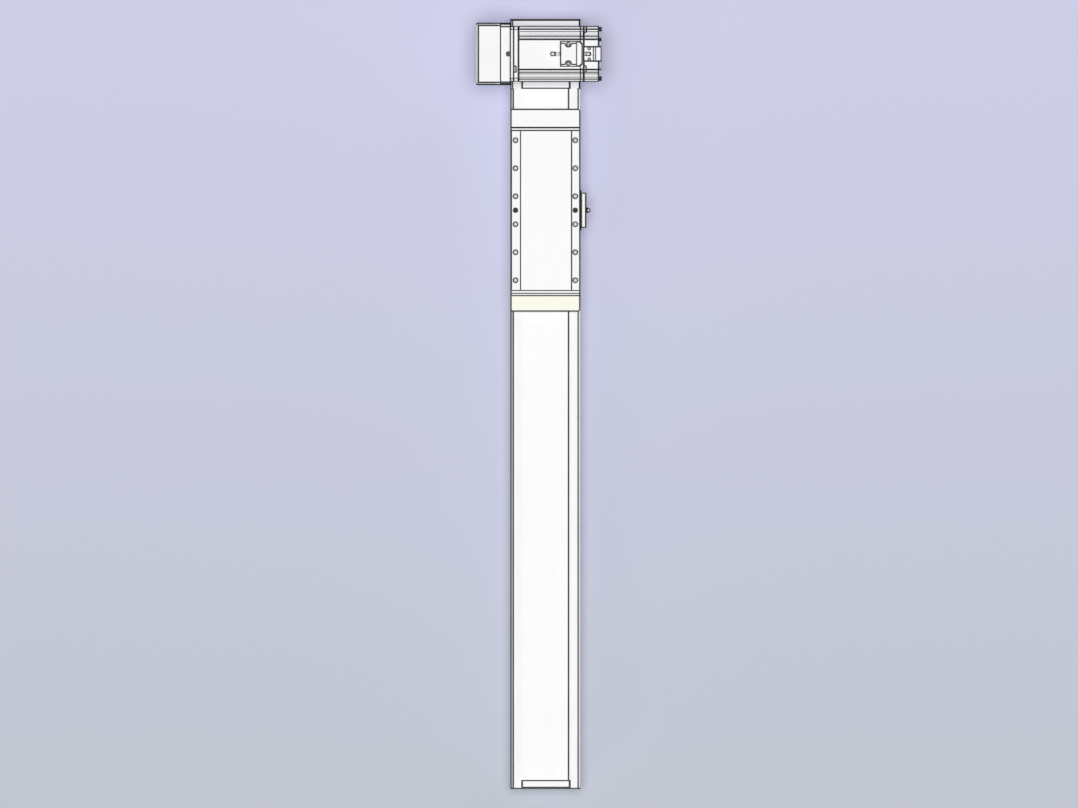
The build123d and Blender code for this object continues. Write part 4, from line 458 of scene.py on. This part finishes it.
# White surfaces of the outside
anodised = surface(
    "anodised_body", WHITE, rough=(0.42, 0.55), grain=1400, stretch=ALONG_Y, shade=(0.975, 1.0), bump=0.03,
    edge=0.6 * MM, lines=body_lines, bare=body_bare,
)
milled = surface("milled_white", WHITE, **MILLED)
housing = surface("milled_housing", WHITE, **MILLED, edge=1.0 * MM, lines=housing_lines, bare=housing_bare)
clamp = surface("milled_clamp", WHITE, **MILLED, lines=clamp_lines)
table = surface(
    "milled_table", WHITE, **MILLED, stretch=ALONG_Y, lines=table_lines, bare=table_bare,
    rings=[load_holes, dowel_holes],
)
adapter = surface(
    "milled_adapter", WHITE, rough=SATIN, grain=1100, stretch=ALONG_X, edge=0.0, lines=adapter_lines
)
cover_sheet = surface(
    "cover_plate_white", WHITE, rough=(0.4, 0.5), grain=1600, stretch=ALONG_Y, shade=(0.98, 1.0),
    lines=plate_lines, bare=plate_bare,
)
strip_steel = surface(
    "strip_steel", WHITE, rough=(0.38, 0.48), grain=2200, stretch=ALONG_Y, shade=(0.985, 1.0), bump=0.015,
    edge=0.0, lines=strip_lines,
)
painted = surface("painted_box", WHITE, rough=SATIN, grain=700, bump=0.06, lines=box_lines, bare=box_bare)
plate = surface("milled_plate", WHITE, **MILLED, lines=base_lines)
cast = surface("cast_motor", WHITE, **CAST, edge=1.4 * MM, lines=motor_lines, painted_shade=rib_hollow_painted_shade)
cap = surface("cast_cap", WHITE, **CAST, edge=1.4 * MM, lines=cap_lines, painted_shade=rib_hollow_painted_shade)
flange = surface("cast_flange", WHITE, **CAST, edge=1.6 * MM, lines=flange_lines)
port = surface("port_block", WHITE, rough=SATIN, grain=1100, lines=port_lines)
nipple = surface("nipple_plated", WHITE, rough=(0.3, 0.4), grain=1500, edge=0.0, lines=nipple_lines)
plated = surface(
    "plated_screws", WHITE, rough=(0.35, 0.45), grain=1600, shade=(0.95, 1.0), edge=1.1 * MM, lines=jack_lines
)

# Moulded plastics
white_plastic = surface("white_plastic", WHITE, **MOULDED, lines=drive_cover_lines, bare=drive_cover_bare)
ivory = surface(
    "ivory_plastic", colour(254, 254, 238), **MOULDED, lines=tail_cover_lines, bare=tail_cover_bare
)
power_plastic = surface("power_plastic", WHITE, **CONNECTOR, lines=power_lines)
plug_plastic = surface("encoder_plastic", WHITE, **CONNECTOR, lines=plug_lines)
green_plastic = surface("cap_plastic", colour(40, 84, 66), rough=(0.4, 0.55), grain=1300, edge=0.5 * MM)
acetal = surface("roller_acetal", colour(240, 240, 232), rough=(0.3, 0.4), grain=1300, edge=0.5 * MM)

# Rubber and magnets
rubber = surface("black_rubber", colour(32, 32, 34), rough=(0.7, 0.85), grain=1800, bump=0.12, edge=0.0)
magnet = surface("magnet_strip", colour(70, 60, 56), **DULL)
wiper = surface("wiper_rubber", WHITE, **DULL, lines=wiper_lines)
gasket = surface("gasket_rubber", colour(14, 14, 16), **DULL)

# Bare and blackened metals
ground = surface(
    "ground_steel", colour(186, 188, 192), rough=(0.22, 0.34), metallic=1.0, grain=2000, stretch=ALONG_Y,
    edge=0.4 * MM,
)
turned = surface(
    "turned_aluminium", colour(205, 206, 210), rough=(0.3, 0.42), metallic=1.0, grain=1500, stretch=ALONG_X,
    edge=0.5 * MM,
)
black_steel = surface("black_oxide", colour(44, 44, 48), rough=(0.35, 0.5), metallic=0.6, edge=0.25 * MM)
iron = surface(
    "core_iron", colour(92, 90, 90), rough=(0.5, 0.65), metallic=0.8, grain=1200, stretch=ALONG_Y,
    edge=0.5 * MM,
)

# Material of each node; the screws that aren't named are black
LOOKS = {
    "base_extrusion": anodised, "drive_housing": housing, "carriage_table": table,
    "carriage_cover_plate": cover_sheet, "transfer_base_plate": plate, "transfer_cover": painted,
    "strip_clamps": clamp, "adapter_plates": adapter, "bearing_cap": turned, "tail_end_plate": milled,
    "idler_bracket": turned, "belt_clamp_plates": turned, "drive_pulley": turned,
    "driven_transfer_pulley": turned, "idler_pulley": turned, "motor_pulley": turned,
    "motor_housing": cast, "motor_flange": flange, "motor_rear_bracket": cast, "grease_port_block": port,
    "guide_rail": ground, "guide_blocks": ground, "drive_shaft": ground, "spindle_keys": ground,
    "motor_shaft": ground, "idler_axle": ground, "roller_pins": ground, "drive_bearings": ground,
    "idler_bearings": ground, "motor_bearings": ground, "dust_strip": strip_steel,
    "magnet_strips": magnet, "drive_belt": rubber, "transfer_belt": rubber, "bumpers": rubber,
    "grease_port_gasket": gasket, "wiper_plates": wiper, "end_cover_tail": ivory,
    "end_cover_drive": white_plastic, "guide_block_end_caps": green_plastic,
    "press_roller_drive": acetal, "press_roller_tail": acetal, "power_connector": power_plastic,
    "encoder_connector": plug_plastic, "encoder_cap": cap, "motor_stator": iron,
    "rotor_core": iron, "grease_nipple": nipple, "connector_screws": plated,
}
for name, node in nodes.items():
    look = LOOKS.get(name, black_steel)
    node.data.materials.clear()
    node.data.materials.append(look)

# Dust strip in three pieces: flat runs that end on the carriage, and the rise inside the carriage
STRIP_THICKNESS = 0.3 * MM
LOW_BEND = 101.95 * MM  # from the carriage's middle to where the strip starts to rise
HIGH_BEND = 76.05 * MM  # and to where it is level again
BEND_STEPS = 12
strip_lo, strip_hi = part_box("dust_strip")
strip_rise = strip_hi.z - strip_lo.z - STRIP_THICKNESS
carriage_y = carriage_middle * MM


def strip_mesh(rows):
    """Corners and faces of a strip whose cross sections lie at the given (y, bottom height) places."""
    vertices = []
    for y, bottom in rows:
        top = bottom + STRIP_THICKNESS
        for x, z in ((strip_lo.x, bottom), (strip_hi.x, bottom), (strip_hi.x, top), (strip_lo.x, top)):
            vertices.append((x, y, z))
    faces = [(3, 2, 1, 0)]
    for row in range(len(rows) - 1):
        a = 4 * row
        for side in range(4):
            b = (side + 1) % 4
            faces.append((a + side, a + b, a + 4 + b, a + 4 + side))
    last = 4 * (len(rows) - 1)
    faces.append((last, last + 1, last + 2, last + 3))
    return vertices, faces


def strip_piece(name, rows):
    """A new piece of the strip through the given cross sections."""
    vertices, faces = strip_mesh(rows)
    data = bpy.data.meshes.new(name)
    data.from_pydata(vertices, [], faces)
    data.validate()
    data.update()
    piece = bpy.data.objects.new(name, data)
    bpy.context.scene.collection.objects.link(piece)
    data.materials.append(strip_steel)
    return piece


def rise_rows():
    """Cross sections of the strip from the tail bend to the drive bend, eased at each bend."""
    rows = []
    for side in (-1, 1):
        ramp = []
        for index in range(BEND_STEPS + 1):
            t = index / BEND_STEPS
            y = carriage_y + side * (LOW_BEND + t * (HIGH_BEND - LOW_BEND))
            ramp.append((y, strip_lo.z + strip_rise * t * t * (3 - 2 * t)))
        rows += ramp if side < 0 else ramp[::-1]
    return rows


# Each flat run goes from a fixed end to one at the carriage's present place
for name, fixed, moving in (
    ("dust_strip_tail", (strip_lo.y, strip_lo.z), (carriage_y - LOW_BEND, strip_lo.z)),
    ("dust_strip_drive", (strip_hi.y, strip_lo.z), (carriage_y + LOW_BEND, strip_lo.z)),
):
    piece = strip_piece(name, sorted((fixed, moving)))
    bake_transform(piece)
    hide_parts("dust_strip")
rise = strip_piece("dust_strip_rise", rise_rows())
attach(rise, "carriage")
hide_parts("dust_strip")

# Floor, with the picture's slow change from a cool grey at its lower edge to a violet at its upper one
FLOOR_SIZE = 12
FLOOR_HEIGHT = -0.2 * MM
LOWER_TINT = colour(199, 204, 215)
UPPER_TINT = colour(212, 212, 238)
half_picture = PICTURE_HEIGHT / 2 * PIXEL
lower_edge = PICTURE_MIDDLE[Y] - half_picture
upper_edge = PICTURE_MIDDLE[Y] + half_picture
floor = Nodes("floor")
fade = spread(floor, floor.parts(floor.place())[Y], 0.0, 1.0, lower_edge, upper_edge)
floor_shader = floor.add("ShaderNodeBsdfDiffuse")
floor.join(mixed(floor, fade, LOWER_TINT, UPPER_TINT), floor_shader.inputs["Color"])
bpy.ops.mesh.primitive_plane_add(size=FLOOR_SIZE, location=(0, 0, FLOOR_HEIGHT))
ground_plane = bpy.context.object
ground_plane.name = "floor"
ground_plane.data.materials.append(floor.finish(floor_shader))

# Light: an even sky, a soft lamp overhead and two weak ones from the sides
SKY_STRENGTH = 0.30
world = bpy.data.worlds.new("studio")
bpy.context.scene.world = world
world.use_nodes = True
world.node_tree.nodes["Background"].inputs["Color"].default_value = (1, 1, 1, 1)
world.node_tree.nodes["Background"].inputs["Strength"].default_value = SKY_STRENGTH


def sun(name, strength, width, tilt, turn):
    """A distant lamp of some width in the sky, tilted from straight above and turned about Z, in degrees."""
    data = bpy.data.lights.new(name, "SUN")
    data.energy = strength * math.pi
    data.angle = math.radians(width)
    lamp = bpy.data.objects.new(name, data)
    lamp.rotation_euler = (math.radians(tilt), 0, math.radians(turn))
    bpy.context.scene.collection.objects.link(lamp)


sun("overhead", strength=0.57, width=20, tilt=0, turn=0)
sun("front_left", strength=0.09, width=30, tilt=60, turn=-35)
sun("back_right", strength=0.05, width=30, tilt=60, turn=150)
